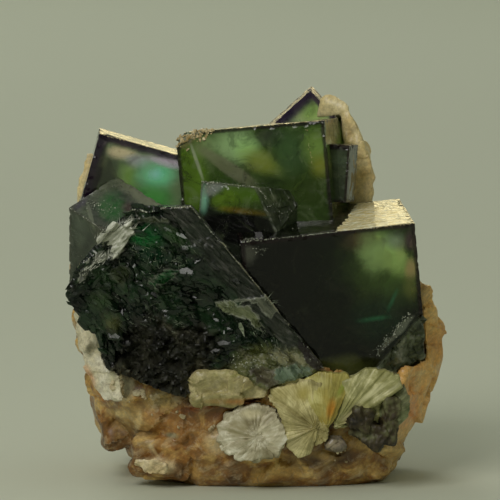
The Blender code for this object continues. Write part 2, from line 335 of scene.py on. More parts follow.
@dataclass(frozen=True)
class Terraces:
    """Cleavage steps: flat treads with sharp risers that flow in long curves.

    The steps follow a smooth field over two directions, drawn out along the first by `stretch`.
    """

    along: Triple
    across: Triple
    grain: float
    count: float
    rise: float
    stretch: float = 2.5
    seed: float = 1.0

    def relief(self, points: np.ndarray) -> tuple[np.ndarray, np.ndarray]:
        """Find how far each point moves.

        Args:
            points: one point a row, in millimetres.

        Returns:
            The height in millimetres and the tread's own number from 0 to 1, for each point.
        """
        first = points @ np.array(self.along) / (self.grain * self.stretch)
        second = points @ np.array(self.across) / self.grain
        flat = np.stack([first, second, np.full(len(points), self.seed * 3.7)], axis=1)
        flat[:, 1] += 0.45 * field_noise(flat * 1.7, 1.0, self.seed * 2.9)
        level = field_noise(flat, 1.0, self.seed, 3) * self.count
        tread = np.floor(level)
        height = (tread + ease(level - tread, 0.8, 1.0) + 0.12 * (level - tread)) * self.rise
        tone = np.mod(np.sin(tread * 12.9898 + self.seed * 78.233) * 43758.5453, 1.0)
        return height, tone


def join_all(pieces: list[Piece], name: str) -> Piece:
    """Join several pieces into one."""
    bpy.ops.object.select_all(action="DESELECT")
    for piece in pieces:
        piece.select_set(True)
    bpy.context.view_layer.objects.active = pieces[0]
    bpy.ops.object.join()
    pieces[0].name = name
    return settle(pieces[0])


def set_out(model: Piece, places: list[Matrix], name: str) -> Piece:
    """Copy a small model to many places, each copy with its own mesh, and join them.

    Args:
        model: the piece to copy, which is removed afterwards.
        places: the place, turn and scale of each copy, in metres.
        name: the joined piece's name.

    Returns:
        The joined piece.
    """
    copies = []
    for place in places:
        one = bpy.data.objects.new(name, model.data.copy())
        bpy.context.scene.collection.objects.link(one)
        one.data.transform(place)
        copies.append(one)
    bpy.data.objects.remove(model)
    return join_all(copies, name)


class Ground:
    """The skins that small pieces come to rest on."""

    def __init__(self, pieces: list[Piece]) -> None:
        """Gather the faces of the pieces in one tree."""
        points: list[list[float]] = []
        faces: list[list[int]] = []
        for piece in pieces:
            start = len(points)
            points.extend(points_of(piece).tolist())
            faces.extend([start + i for i in face.vertices] for face in piece.data.polygons)
        self.tree = BVHTree.FromPolygons(points, faces)

    def rest(self, point: Vector, reach: float) -> Vector | None:
        """The nearest place on the skins, or None where none is in reach."""
        return self.tree.find_nearest(point, reach)[0]

    def front(self, across: float, up: float) -> tuple[Vector, Vector] | None:
        """The place and the normal that a line from the front meets first, or None where it misses."""
        at, normal, _, _ = self.tree.ray_cast(Vector((across, -30.0, up)), Vector((0.0, 1.0, 0.0)))
        return None if at is None else (at, normal)


def placed(at: Triple, turn: Triple, size: Triple) -> Matrix:
    """A copy's place and size in millimetres and its turn in degrees, as a matrix in metres."""
    turned = Euler(radians(turn)).to_matrix().to_4x4()
    return Matrix.Translation(Vector(at) * MM) @ turned @ Matrix.Diagonal((*(Vector(size) * MM), 1.0))


def splinter() -> Piece:
    """A thin five-sided splinter one unit long up Z, from a wide root to a sharp tip."""
    piece = primitive(
        bpy.ops.mesh.primitive_cone_add, "splinter", vertices=5, radius1=0.5, radius2=0.16, depth=0.55,
        location=(0, 0, 0.275),
    )
    top = max(piece.data.polygons, key=lambda face: face.center.z).index
    bpy.ops.object.mode_set(mode="EDIT")
    bpy.ops.mesh.select_all(action="DESELECT")
    bpy.ops.object.mode_set(mode="OBJECT")
    piece.data.polygons[top].select = True
    bpy.ops.object.mode_set(mode="EDIT")
    bpy.ops.mesh.select_mode(type="FACE")
    bpy.ops.mesh.extrude_region_move(TRANSFORM_OT_translate={"value": (0.06, 0.02, 0.45)})
    bpy.ops.transform.resize(value=(0.12, 0.12, 1.0))
    bpy.ops.object.mode_set(mode="OBJECT")
    return settle(piece)


def shard() -> Piece:
    """An angular plate one unit long, wide and thick."""
    piece = primitive(
        bpy.ops.mesh.primitive_cone_add, "shard", vertices=5, radius1=0.5, radius2=0.36, depth=1.0
    )
    return settle(cut_off(piece, ((-0.2, 0.3, 0.0), (-0.5, 1.0, 0.1)), ((0.3, -0.2, 0.0), (0.25, -1.0, 0.2))))


def chip() -> Piece:
    """A small sharp chip about one unit across."""
    piece = primitive(bpy.ops.mesh.primitive_ico_sphere_add, "chip", subdivisions=1, radius=0.5)
    return settle(cut_off(piece, ((0, 0, 0.22), (0.2, 0.1, 1.0)), ((0.2, 0, 0), (1.0, -0.3, 0.2))))


# Node boards: one method for each kind of shader node that the finishes use


class NoiseForm(Enum):
    """The form of a noise."""

    SOFT = "FBM"
    RIDGED = "RIDGED_MULTIFRACTAL"


class CellForm(Enum):
    """The form of a net of cells."""

    ROUND = "EUCLIDEAN"
    BLOCKY = "CHEBYCHEV"


class Board:
    """A node tree with one method for each kind of node that the finishes use."""

    def __init__(self, tree: bpy.types.NodeTree) -> None:
        """Keep the tree."""
        self.tree = tree

    def node(self, kind: str, **settings: object) -> bpy.types.Node:
        """Add a node and set its properties."""
        made = self.tree.nodes.new(kind)
        for key, value in settings.items():
            setattr(made, key, value)
        return made

    def feed(self, socket: Socket, value: object) -> None:
        """Link a socket to an output, or set its own value."""
        if isinstance(value, bpy.types.NodeSocket):
            self.tree.links.new(value, socket)
        elif isinstance(value, (tuple, list)) and socket.type == "RGBA":
            socket.default_value = (*value[:3], 1.0)
        else:
            socket.default_value = value

    def math(self, operation: str, *values: object, clamp: bool = False) -> Socket:
        """A Math node's result."""
        made = self.node("ShaderNodeMath", operation=operation, use_clamp=clamp)
        for socket, value in zip(made.inputs, values):
            self.feed(socket, value)
        return made.outputs[0]

    def chain(self, operation: str, *values: object) -> Socket:
        """Several numbers taken together, from the first to the last."""
        total = values[0]
        for value in values[1:]:
            total = self.math(operation, total, value)
        return total

    def times(self, *values: object) -> Socket:
        """Several numbers multiplied together."""
        return self.chain("MULTIPLY", *values)

    def plus(self, *values: object) -> Socket:
        """Several numbers added up."""
        return self.chain("ADD", *values)

    def vector(self, operation: str, *values: object) -> Socket:
        """A Vector Math node's result, which is a number for LENGTH, DISTANCE and DOT_PRODUCT."""
        made = self.node("ShaderNodeVectorMath", operation=operation)
        for socket, value in zip(made.inputs, values):
            self.feed(socket, value)
        number = operation in ("LENGTH", "DISTANCE", "DOT_PRODUCT")
        return made.outputs["Value" if number else "Vector"]

    def parts(self, vector: Socket) -> list[Socket]:
        """A vector's three numbers."""
        made = self.node("ShaderNodeSeparateXYZ")
        self.feed(made.inputs[0], vector)
        return list(made.outputs)

    def mix(self, share: object, first: object, second: object) -> Socket:
        """A colour Mix node's result."""
        made = self.node("ShaderNodeMix", data_type="RGBA")
        for index, value in ((0, share), (6, first), (7, second)):
            self.feed(made.inputs[index], value)
        return made.outputs[2]

    def wash(self, under: object, value: Socket, *washes: tuple[float, float, float, object]) -> Socket:
        """Lay colours over one another where a value runs from a low to a high one.

        Args:
            under: the colour so far.
            value: the number that the colours follow.
            washes: for each colour, where it starts, where it is full, its share there and itself.

        Returns:
            The new colour.
        """
        for low, high, share, colour in washes:
            under = self.mix(self.remap(value, low, high, 0.0, share), under, colour)
        return under

    def remap(self, value: object, low: object, high: object, to_low: object = 0.0,
              to_high: object = 1.0) -> Socket:
        """A number eased from one range to another."""
        made = self.node("ShaderNodeMapRange", interpolation_type="SMOOTHSTEP")
        for socket, number in zip(made.inputs, (value, low, high, to_low, to_high)):
            self.feed(socket, number)
        return made.outputs[0]

    def noise(self, at: object, scale: object, detail: float = 2.0, rough: float = 0.5,
              warp: float = 0.0, form: NoiseForm = NoiseForm.SOFT) -> Socket:
        """A Noise Texture's value."""
        made = self.node("ShaderNodeTexNoise", noise_type=form.value)
        settings = {"Vector": at, "Scale": scale, "Detail": detail, "Roughness": rough, "Distortion": warp}
        for key, value in settings.items():
            self.feed(made.inputs[key], value)
        return made.outputs[0]

    def cells(self, at: object, scale: object, form: CellForm = CellForm.ROUND) -> Socket:
        """A Voronoi Texture's distance."""
        made = self.node("ShaderNodeTexVoronoi", distance=form.value)
        self.feed(made.inputs["Vector"], at)
        self.feed(made.inputs["Scale"], scale)
        return made.outputs["Distance"]

    def ramp(self, value: object, *stops: tuple[float, Colour]) -> Socket:
        """A Color Ramp's colour."""
        made = self.node("ShaderNodeValToRGB")
        self.feed(made.inputs[0], value)
        points = made.color_ramp.elements
        while len(points) < len(stops):
            points.new(0.5)
        for point, (place, colour) in zip(points, stops):
            point.position = place
            point.color = (*colour, 1.0)
        return made.outputs[0]

    def mapping(self, at: object, place: Triple = (0, 0, 0), turn: Triple = (0, 0, 0),
                size: Triple = (1, 1, 1), into: bool = True) -> Socket:
        """A Mapping node's vector.

        Args:
            at: the vector to map.
            place: the frame's middle in metres.
            turn: the frame's turn in degrees.
            size: the frame's unit lengths, or the stretch when not going into a frame.
            into: whether the point is brought into the frame.

        Returns:
            The mapped vector.
        """
        made = self.node("ShaderNodeMapping", vector_type="TEXTURE" if into else "POINT")
        self.feed(made.inputs["Vector"], at)
        made.inputs["Location"].default_value = place
        made.inputs["Rotation"].default_value = radians(turn)
        made.inputs["Scale"].default_value = size
        return made.outputs[0]

    def bump(self, height: object, distance: float, strength: object) -> Socket:
        """A Bump node's normal, distance in millimetres."""
        made = self.node("ShaderNodeBump")
        for key, value in {"Distance": distance * MM, "Strength": strength, "Height": height}.items():
            self.feed(made.inputs[key], value)
        return made.outputs[0]

    def own(self, name: str) -> Socket:
        """A number kept with the mesh."""
        return self.node("ShaderNodeAttribute", attribute_name=name).outputs["Fac"]

    def group(self, effect: bpy.types.NodeTree, **values: object) -> dict[str, Socket]:
        """Place an effect's group with its own values; an underscore in a name stands for a space."""
        made = self.node("ShaderNodeGroup")
        made.node_tree = effect
        for key, value in values.items():
            self.feed(made.inputs[key.replace("_", " ")], value)
        return made.outputs


class Effect:
    """A shader node group with named inputs and outputs, built once."""

    def __init__(self, name: str, inputs: dict[str, object], outputs: tuple[str, ...]) -> None:
        """Make the group and its sockets.

        Args:
            name: the group's name.
            inputs: each input's default; a vector has None or three numbers.
            outputs: the names of the outputs, all of them numbers.
        """
        self.tree = bpy.data.node_groups.new(name, "ShaderNodeTree")
        for key, default in inputs.items():
            number = isinstance(default, float)
            kind = "NodeSocketFloat" if number else "NodeSocketVector"
            socket = self.tree.interface.new_socket(key, in_out="INPUT", socket_type=kind)
            if default is not None:
                socket.default_value = default
        for key in outputs:
            self.tree.interface.new_socket(key, in_out="OUTPUT", socket_type="NodeSocketFloat")
        self.board = Board(self.tree)
        self.inside = self.board.node("NodeGroupInput").outputs
        self.outside = self.board.node("NodeGroupOutput").inputs

    def give(self, **values: object) -> bpy.types.NodeTree:
        """Feed the group's outputs and return the finished group."""
        for key, value in values.items():
            self.board.feed(self.outside[key], value)
        return self.tree


def rim_effect() -> bpy.types.NodeTree:
    """How near a face point of a cube is to the cube's edges: 1 on an edge, 0 beyond the rim."""
    effect = Effect("cube_rim", {"Place": None, "Half Size": None, "Width": 0.0006, "Ragged": 0.6}, ("Rim",))
    board, inside = effect.board, effect.inside
    away = board.vector("SUBTRACT", inside["Half Size"], board.vector("ABSOLUTE", inside["Place"]))
    x, y, z = board.parts(away)
    low = board.math("MINIMUM", x, y)
    high = board.math("MAXIMUM", x, y)
    second = board.math("MAXIMUM", low, board.math("MINIMUM", high, z))
    wave = board.noise(inside["Place"], 700.0, detail=3.0, rough=0.6)
    shift = board.times(board.math("SUBTRACT", wave, 0.5), inside["Width"], inside["Ragged"])
    edge = board.math("ADD", second, shift)
    return effect.give(Rim=board.remap(edge, inside["Width"], board.times(inside["Width"], 0.45)))


def cloud_effect() -> bpy.types.NodeTree:
    """A soft-edged cloud that fills the unit ball round Place, with its edge wandering by Wobble."""
    effect = Effect("zone_cloud", {"Place": None, "Stone": None, "Soft": 0.7, "Wobble": 0.3}, ("Cloud",))
    board, inside = effect.board, effect.inside
    wave = board.noise(inside["Stone"], 330.0, detail=4.0, rough=0.6, warp=0.4)
    swing = board.times(board.math("SUBTRACT", wave, 0.5), inside["Wobble"], 2.6)
    reach = board.math("ADD", board.vector("LENGTH", inside["Place"]), swing)
    start = board.math("SUBTRACT", 1.0, inside["Soft"])
    return effect.give(Cloud=board.remap(reach, 1.0, start))


def dust_effect() -> bpy.types.NodeTree:
    """Fine grains and smears that lie on a surface, thick in some patches and absent in others."""
    inputs = {"Place": None, "Grain": 7000.0, "Amount": 0.3, "Patches": 350.0}
    effect = Effect("fine_dust", inputs, ("Mask", "Haze"))
    board, inside = effect.board, effect.inside
    patch = board.noise(inside["Place"], inside["Patches"], 4.0, 0.65)
    size = board.math("MULTIPLY", board.remap(patch, 0.35, 0.75), inside["Amount"])
    specks = board.cells(inside["Place"], inside["Grain"])
    fine = board.noise(inside["Place"], inside["Grain"], 3.0, 0.7)
    speck = board.remap(specks, size, board.times(size, 0.5))
    haze = board.times(board.remap(fine, 0.45, 0.8), board.remap(patch, 0.45, 0.8), inside["Amount"])
    return effect.give(Mask=speck, Haze=haze)


def fracture_effect() -> bpy.types.NodeTree:
    """Thin ridges, small steps and cloudy tone of a broken crystal."""
    effect = Effect("fracture", {"Place": None, "Scale": 500.0, "Sharp": 0.35}, ("Height", "Ridge", "Tone"))
    board, inside = effect.board, effect.inside
    ridges = board.noise(inside["Place"], inside["Scale"], 5.0, 0.6, warp=0.6, form=NoiseForm.RIDGED)
    steps = board.cells(inside["Place"], board.times(inside["Scale"], 1.3))
    tone = board.noise(inside["Place"], board.times(inside["Scale"], 0.5), detail=5.0, rough=0.65)
    height = board.math("ADD", board.times(ridges, 0.6), steps)
    sharp = board.math("ADD", 0.75, inside["Sharp"])
    return effect.give(Height=height, Ridge=board.remap(ridges, 0.75, sharp), Tone=tone)


@dataclass(frozen=True)
class Effects:
    """The effects that several finishes share."""

    rim: bpy.types.NodeTree = field(default_factory=rim_effect)
    cloud: bpy.types.NodeTree = field(default_factory=cloud_effect)
    dust: bpy.types.NodeTree = field(default_factory=dust_effect)
    fracture: bpy.types.NodeTree = field(default_factory=fracture_effect)


EFFECTS = Effects()


# Finishes


@dataclass(frozen=True)
class CubeFrame:
    """Where a cube lies: its centre, its size, and its turn about X, Y and Z."""

    centre: Triple
    size: Triple
    turn: Triple

    def matrix(self) -> np.ndarray:
        """The cube's place and turn, in millimetres."""
        turned = Euler(radians(self.turn)).to_matrix().to_4x4()
        return np.array(Matrix.Translation(Vector(self.centre)) @ turned)

    def block(self, name: str) -> Piece:
        """Model the plain cube."""
        piece = primitive(
            bpy.ops.mesh.primitive_cube_add, name, size=1.0, location=metres(self.centre),
            rotation=radians(self.turn),
        )
        piece.scale = metres(self.size)
        return settle(piece)


@dataclass(frozen=True)
class Zone:
    """A soft-edged part of a crystal with its own colour, placed in the crystal's frame; many bright zones on
    the clear cubes are painted glow of light shining through, and one zone on the matrix is painted shade.

    It fills an ellipsoid. `centre` and `half` give its middle and half size across and up, and
    `depth` gives the same two numbers from front to back.
    """

    centre: tuple[float, float]
    half: tuple[float, float]
    colour: Colour
    strength: float = 1.0
    slant: float = 0.0
    soft: float = 0.75
    wobble: float = 0.25
    depth: tuple[float, float] = (0.0, DEEP)

    def lay(self, board: Board, crystal: Socket, under: object) -> Socket:
        """Lay this zone over the colour so far.

        Args:
            board: the material's board.
            crystal: coordinates in the crystal's frame.
            under: the colour so far.

        Returns:
            The new colour.
        """
        middle, reach = self.depth
        centre = metres((self.centre[0], middle, self.centre[1]))
        half = metres((self.half[0], reach, self.half[1]))
        place = board.mapping(crystal, centre, (0.0, self.slant, 0.0), half)
        made = board.group(EFFECTS.cloud, Place=place, Stone=crystal, Soft=self.soft, Wobble=self.wobble)
        return board.mix(board.times(made["Cloud"], self.strength), under, self.colour)


def on_level(depth: tuple[float, float], *zones: Zone) -> tuple[Zone, ...]:
    """Give zones one middle and half size from front to back."""
    return tuple(replace(zone, depth=depth) for zone in zones)


class Finish:
    """A new Principled material with a board and Object coordinates."""

    def __init__(self, name: str) -> None:
        """Make the empty material."""
        self.material = bpy.data.materials.new(name)
        self.material.use_nodes = True
        self.board = Board(self.material.node_tree)
        self.shader = self.material.node_tree.nodes["Principled BSDF"]
        self.place = self.board.node("ShaderNodeTexCoord").outputs["Object"]

    def set(self, **values: object) -> None:
        """Feed the shader's sockets; an underscore in a name stands for a space."""
        for key, value in values.items():
            self.board.feed(self.shader.inputs[key.replace("_", " ")], value)

    def absorb(self, colour: Colour, density: float) -> None:
        """Fill the crystal with an absorbing body, density per metre."""
        body = self.board.node("ShaderNodeVolumeAbsorption")
        body.inputs["Color"].default_value = (*colour, 1.0)
        body.inputs["Density"].default_value = density
        output = self.material.node_tree.nodes["Material Output"]
        self.board.feed(output.inputs["Volume"], body.outputs[0])


@dataclass(frozen=True)
class ZonedFluorite:
    """Clear fluorite with colour zones, a purple-black rim, fine growth lines, dust on its faces and painted
    light.

    Many bright zones are painted glow of light shining through the crystal, and the pale layer on upward
    faces is settled dust with a painted sheen of the light that the top faces reflect. Its zones follow the
    cube's frame, or the specimen's own frame when `upright` is true.
    """

    name: str
    body: Colour
    zones: tuple[Zone, ...] = ()
    upright: bool = False
    rim: Colour = tint(38, 26, 44)
    rim_width: float = 0.5
    rim_share: float = 0.85
    dust: float = 0.14
    haze: float = 0.12
    veils: float = 0.2
    # The pale layer on upward faces, where it starts across the cube, and its colour: settled dust with a
    # painted sheen of the light that the top faces reflect.
    top_dust_and_sheen: float = 0.5
    dust_and_sheen_from: float = -2.0
    dust_and_sheen_colour: Colour = tint(196, 198, 182)
    scar: tuple[Colour, Colour, Colour] = (tint(46, 56, 38), tint(104, 114, 86), tint(200, 204, 184))
    roughness: float = 0.05
    clearness: float = 0.86
    gloss: float = 0.5
    absorb: Colour = (0.45, 0.80, 0.50)
    density: float = 18.0

    def make(self, cube: CubeFrame) -> bpy.types.Material:
        """Build the material in a cube's frame.

        Args:
            cube: the cube that the zones follow.

        Returns:
            The material.
        """
        finish = Finish(self.name)
        board, place = finish.board, finish.place
        crystal = board.mapping(place, metres(cube.centre), cube.turn)
        colour: object = self.body
        # Colour zoning, partly painted glow of light shining through the crystal.
        for zone in self.zones:
            colour = zone.lay(board, place if self.upright else crystal, colour)
        veil = board.noise(crystal, 330.0, detail=6.0, rough=0.68, warp=0.9)
        pale = (0.51, 0.66, self.veils, tint(168, 184, 140))
        dark = (0.49, 0.34, self.veils * 2.4, tint(8, 14, 6))
        colour = board.wash(colour, veil, pale, dark)
        half = metres(tuple(side / 2.0 for side in cube.size))
        rim = board.group(EFFECTS.rim, Place=crystal, Half_Size=half, Width=self.rim_width * MM)
        front = board.remap(board.parts(crystal)[1], -0.3 * half[1], 0.4 * half[1], self.rim_share, 0.35)
        colour = board.mix(board.times(rim["Rim"], front), colour, self.rim)
        dust = board.group(EFFECTS.dust, Place=place, Amount=self.dust)
        # A pale layer on upward faces, partly settled dust and partly painted sheen of the light that the top
        # faces reflect, mixed with the dust specks.
        upward = board.remap(board.parts(board.node("ShaderNodeTexCoord").outputs["Normal"])[2], 0.6, 0.95)
        dust_and_sheen_patches = board.remap(board.noise(place, 1500.0, detail=5.0, rough=0.75), 0.36, 0.6)
        start, full = self.dust_and_sheen_from * half[0], (self.dust_and_sheen_from + 0.5) * half[0]
        side = board.remap(board.parts(crystal)[0], start, full)
        settled_dust_and_sheen = board.times(upward, dust_and_sheen_patches, side, self.top_dust_and_sheen)
        dust_and_sheen_cover = board.chain("MAXIMUM", dust["Mask"], board.times(dust["Haze"], self.haze), settled_dust_and_sheen)
        colour = board.mix(board.times(dust_and_sheen_cover, 0.5), colour, self.dust_and_sheen_colour)
        waves = board.noise(crystal, 600.0, detail=4.0, rough=0.6)
        lines = board.noise(board.mapping(crystal, size=(0.18, 1.0, 1.0), into=False), 2600.0)
        growth = board.mapping(crystal, size=(0.25, 1.0, 1.0), into=False)
        growth = board.noise(growth, 900.0, detail=4.0, rough=0.7)
        broken = board.own("broken")
        scar = board.group(EFFECTS.fracture, Place=place, Scale=900.0, Sharp=0.4)
        shards = board.ramp(scar["Tone"], *zip((0.36, 0.5, 0.66), self.scar))
        relief = board.plus(
            board.times(waves, 0.6),
            board.times(lines, 0.25),
            board.times(dust["Mask"], 0.6),
            board.times(growth, upward, 3.0),
            board.times(scar["Height"], broken, 3.0),
        )
        rough = board.remap(waves, 0.35, 0.75, self.roughness * 0.5, self.roughness * 2.0)
        matt = board.plus(board.times(dust_and_sheen_cover, 0.4), board.times(broken, 0.3))
        finish.set(
            Base_Color=board.mix(board.times(broken, 0.85), colour, shards),
            Roughness=board.math("ADD", rough, matt, clamp=True),
            Normal=board.bump(relief, 0.02, 0.4),
            Transmission_Weight=self.clearness,
            Specular_IOR_Level=self.gloss,
            IOR=1.434,
        )
        finish.absorb(self.absorb, self.density)
        return finish.material


@dataclass(frozen=True)
class PalePatch:
    """A sheet of cleavage on the fracture with its own colours, seen from the front.

    Its outline runs across and up; `lift` is how far it stands out of the crystal, and `rim` is the share of
    a painted highlight along the outline.
    """

    name: str
    outline: tuple[tuple[float, float], ...]
    dark: Colour
    light: Colour
    share: float = 0.9
    lift: float = 0.15
    soft: float = 0.35
    torn: float = 0.5
    rim: float = 0.5

    def mask(self, points: np.ndarray) -> np.ndarray:
        """How much of the sheet lies at each point, from 0 to 1."""
        corners = self.outline
        sides = list(zip(corners, corners[1:] + corners[:1]))
        away = np.min([line_distance(points, start, end) for start, end in sides], axis=0)
        inside = np.zeros(len(points), dtype=bool)
        x, z = points[:, 0], points[:, 2]
        for (x0, z0), (x1, z1) in sides:
            crosses = (z0 > z) != (z1 > z)
            inside ^= crosses & (x < (x1 - x0) * (z - z0) / (z1 - z0 + 1e-9) + x0)
        tear = self.torn * field_noise(points, 0.7, len(corners) * 1.3, 3)
        return ease(np.where(inside, away, -away) + tear, -0.5 * self.soft, 0.5 * self.soft)


@dataclass(frozen=True)
class BrokenFluorite:
    """The fractured crystal: black-green glass, pale sheets, a grey-violet edge band, crumbly black, and
    painted highlights along its edges and the sheets' outlines.
    """

    name: str = "broken_fluorite"
    zones: tuple[Zone, ...] = ()
    sheets: tuple[PalePatch, ...] = ()
    clearness: float = 0.5

    def make(self) -> bpy.types.Material:
        """Build the material; it reads the mesh's own chip, band, crumble, haze, edge and sheet numbers."""
        finish = Finish(self.name)
        board, place = finish.board, finish.place
        streaked = board.mapping(place, turn=(0.0, -42.0, 0.0), size=(1.0, 1.0, 4.5))
        fine = board.group(EFFECTS.fracture, Place=streaked, Scale=620.0, Sharp=0.5)
        lines = board.noise(streaked, 1500.0, detail=4.0, rough=0.7, warp=0.3)
        wide = board.noise(place, 210.0, detail=5.0, rough=0.6, warp=0.8)
        colour = board.ramp(wide, (0.36, tint(9, 15, 10)), (0.5, tint(18, 36, 22)), (0.66, tint(42, 70, 42)))
        for zone in self.zones:
            colour = zone.lay(board, place, colour)
        pale, dark = (0.62, 1.0, 0.4, tint(70, 98, 64)), (0.4, 0.0, 0.7, tint(7, 11, 8))
        colour = board.wash(colour, board.own("chip"), pale, dark)
        pale, dark = (0.58, 0.74, 0.35, tint(138, 156, 124)), (0.44, 0.3, 0.5, tint(7, 12, 9))
        colour = board.wash(colour, lines, pale, dark)
        lengthwise = board.mapping(place, turn=(0.0, 40.0, 0.0), size=(1.0, 1.0, 0.16))
        grain = board.noise(lengthwise, 500.0, detail=5.0, rough=0.65)
        veil = ((0.38, tint(18, 24, 18)), (0.52, tint(48, 54, 44)), (0.66, tint(118, 116, 112)))
        colour = board.mix(board.times(board.own("band"), 0.8), colour, board.ramp(grain, *veil))
        crumble, haze = board.own("crumble"), board.own("haze")
        coal = ((0.38, tint(16, 15, 12)), (0.54, tint(62, 60, 46)), (0.66, tint(150, 146, 122)))
        colour = board.mix(board.times(crumble, 0.9), colour, board.ramp(fine["Tone"], *coal))
        speck = board.noise(place, 2600.0, detail=5.0, rough=0.75)
        mist = board.noise(place, 420.0, detail=4.0, rough=0.6, warp=0.5)
        dusty = ((0.36, tint(88, 92, 44)), (0.5, tint(134, 138, 80)), (0.64, tint(184, 180, 138)))
        colour = board.mix(board.times(haze, 0.85), colour, board.ramp(mist, *dusty))
        specks = board.times(haze, board.remap(speck, 0.55, 0.64, 0.0, 0.8))
        colour = board.mix(specks, colour, tint(206, 208, 190))
        fibre = board.noise(streaked, 900.0, detail=5.0, rough=0.75, warp=0.5)
        for sheet in self.sheets:
            mask = board.own(sheet.name)
            face = board.ramp(fibre, (0.36, sheet.dark), (0.62, sheet.light))
            colour = board.mix(board.times(board.remap(mask, 0.3, 0.7), sheet.share), colour, face)
            # A painted highlight along each sheet's outline.
            outline = board.times(board.remap(mask, 0.1, 0.45), board.remap(mask, 0.9, 0.5), sheet.rim)
            colour = board.mix(outline, colour, tint(206, 210, 190))
        # A painted highlight along the crystal's top and upper right edges.
        edge = board.remap(board.plus(board.own("edge"), board.times(lines, 0.8)), 0.9, 1.3)
        colour = board.mix(board.times(edge, 0.8), colour, tint(176, 172, 142))
        dust = board.group(EFFECTS.dust, Place=place, Grain=5200.0, Amount=0.16, Patches=500.0)
        matt = ((crumble, 0.3), (haze, 0.3), (board.own("back"), 0.35))
        matt = board.plus(*(board.times(value, share) for value, share in matt))
        relief = board.plus(board.times(fine["Height"], 0.7), board.times(lines, 0.5))
        finish.set(
            Base_Color=board.mix(board.times(dust["Mask"], 0.6), colour, tint(190, 192, 176)),
            Roughness=board.plus(matt, board.remap(fine["Tone"], 0.3, 0.7, 0.1, 0.32)),
            Normal=board.bump(relief, 0.07, 0.5),
            Transmission_Weight=self.clearness,
            IOR=1.434,
        )
        finish.absorb((0.25, 0.70, 0.40), 60.0)
        return finish.material


@dataclass(frozen=True)
class Cleavage:
    """A pale, part-clear flake or splinter of fluorite, streaked along its fibres where it has them."""

    name: str
    dark: Colour
    light: Colour
    scale: float = 1400.0
    clearness: float = 0.15
    roughness: float = 0.35
    lean: float = 0.0
    stretch: float = 1.0

    def make(self) -> bpy.types.Material:
        """Build the material."""
        finish = Finish(self.name)
        board = finish.board
        fibres = board.mapping(finish.place, turn=(0.0, self.lean, 0.0), size=(1.0, 1.0, self.stretch))
        tone = board.noise(fibres, self.scale, detail=4.0, rough=0.7)
        patch = board.noise(finish.place, 480.0, detail=4.0, rough=0.65)
        colour = board.ramp(tone, (0.35, self.dark), (0.65, self.light))
        shade = board.mix(0.55, colour, self.dark)
        finish.set(
            Base_Color=board.mix(board.remap(patch, 0.6, 0.35), colour, shade),
            Roughness=board.remap(tone, 0.3, 0.7, self.roughness * 0.6, self.roughness * 1.4),
            Normal=board.bump(tone, 0.08, 0.6),
            Transmission_Weight=self.clearness,
            IOR=1.434,
        )
        return finish.material


@dataclass(frozen=True)
class Feldspar:
    """Massive feldspar: cloudy colours broken by cleavage steps, pale grains and rusty seams."""

    name: str
    deep: Colour
    middle: Colour
    pale: Colour
    stain: Colour = tint(118, 52, 14)
    stain_share: float = 0.5
    scale: float = 150.0
    grains: float = 0.35
    roughness: float = 0.42
    zones: tuple[Zone, ...] = ()

    def make(self) -> bpy.types.Material:
        """Build the material."""
        finish = Finish(self.name)
        board, place = finish.board, finish.place
        wide = board.noise(place, self.scale, detail=6.0, rough=0.62, warp=0.7)
        colour = board.ramp(wide, (0.32, self.deep), (0.5, self.middle), (0.68, self.pale))
        seams = board.noise(place, self.scale * 1.3, detail=3.0, rough=0.6, warp=1.0, form=NoiseForm.RIDGED)
        colour = board.mix(board.times(board.remap(seams, 0.75, 1.25), self.stain_share), colour, self.stain)
        for zone in self.zones:
            colour = zone.lay(board, place, colour)
        broad = board.noise(place, 95.0, detail=3.0, rough=0.6, warp=0.6)
        smear = board.mapping(place, turn=(10.0, 58.0, -14.0), size=(1.0, 3.4, 1.0))
        smear = board.noise(smear, 360.0, detail=5.0, rough=0.6, warp=0.5)
        veins = board.mapping(place, turn=(24.0, -32.0, 12.0), size=(7.0, 1.0, 1.0))
        veins = board.noise(veins, 900.0, detail=4.0, rough=0.65)
        colour = board.wash(colour, broad, (0.54, 0.64, 0.45, self.pale), (0.44, 0.34, 0.4, self.deep))
        colour = board.wash(colour, smear, (0.55, 0.66, 0.5, self.pale), (0.42, 0.34, 0.4, self.deep))
        pale, dark = (0.52, 0.68, 0.3, shown(226, 206, 168)), (0.46, 0.34, 0.3, shown(70, 44, 20))
        colour = board.wash(colour, veins, pale, dark)
        blocks = board.cells(place, 900.0, CellForm.BLOCKY)
        fleck = board.remap(board.noise(place, 620.0, detail=5.0, rough=0.7, warp=0.6), 0.54, 0.66)
        grain = board.mix(0.6, colour, shown(226, 214, 186))
        colour = board.mix(board.times(fleck, self.grains), colour, grain)
        fine = board.noise(place, 2400.0, detail=4.0, rough=0.7)
        shade = board.remap(fine, 0.35, 0.7, 0.5, 0.0)
        finish.set(
            Base_Color=board.mix(shade, colour, board.mix(0.6, colour, (0.0, 0.0, 0.0))),
            Roughness=board.remap(fine, 0.3, 0.7, self.roughness * 0.7, self.roughness * 1.4),
            Normal=board.bump(board.plus(board.times(blocks, 0.5), board.times(fine, 0.6), wide), 0.12, 0.55),
            Coat_Weight=0.25,
            Coat_Roughness=0.25,
        )
        return finish.material


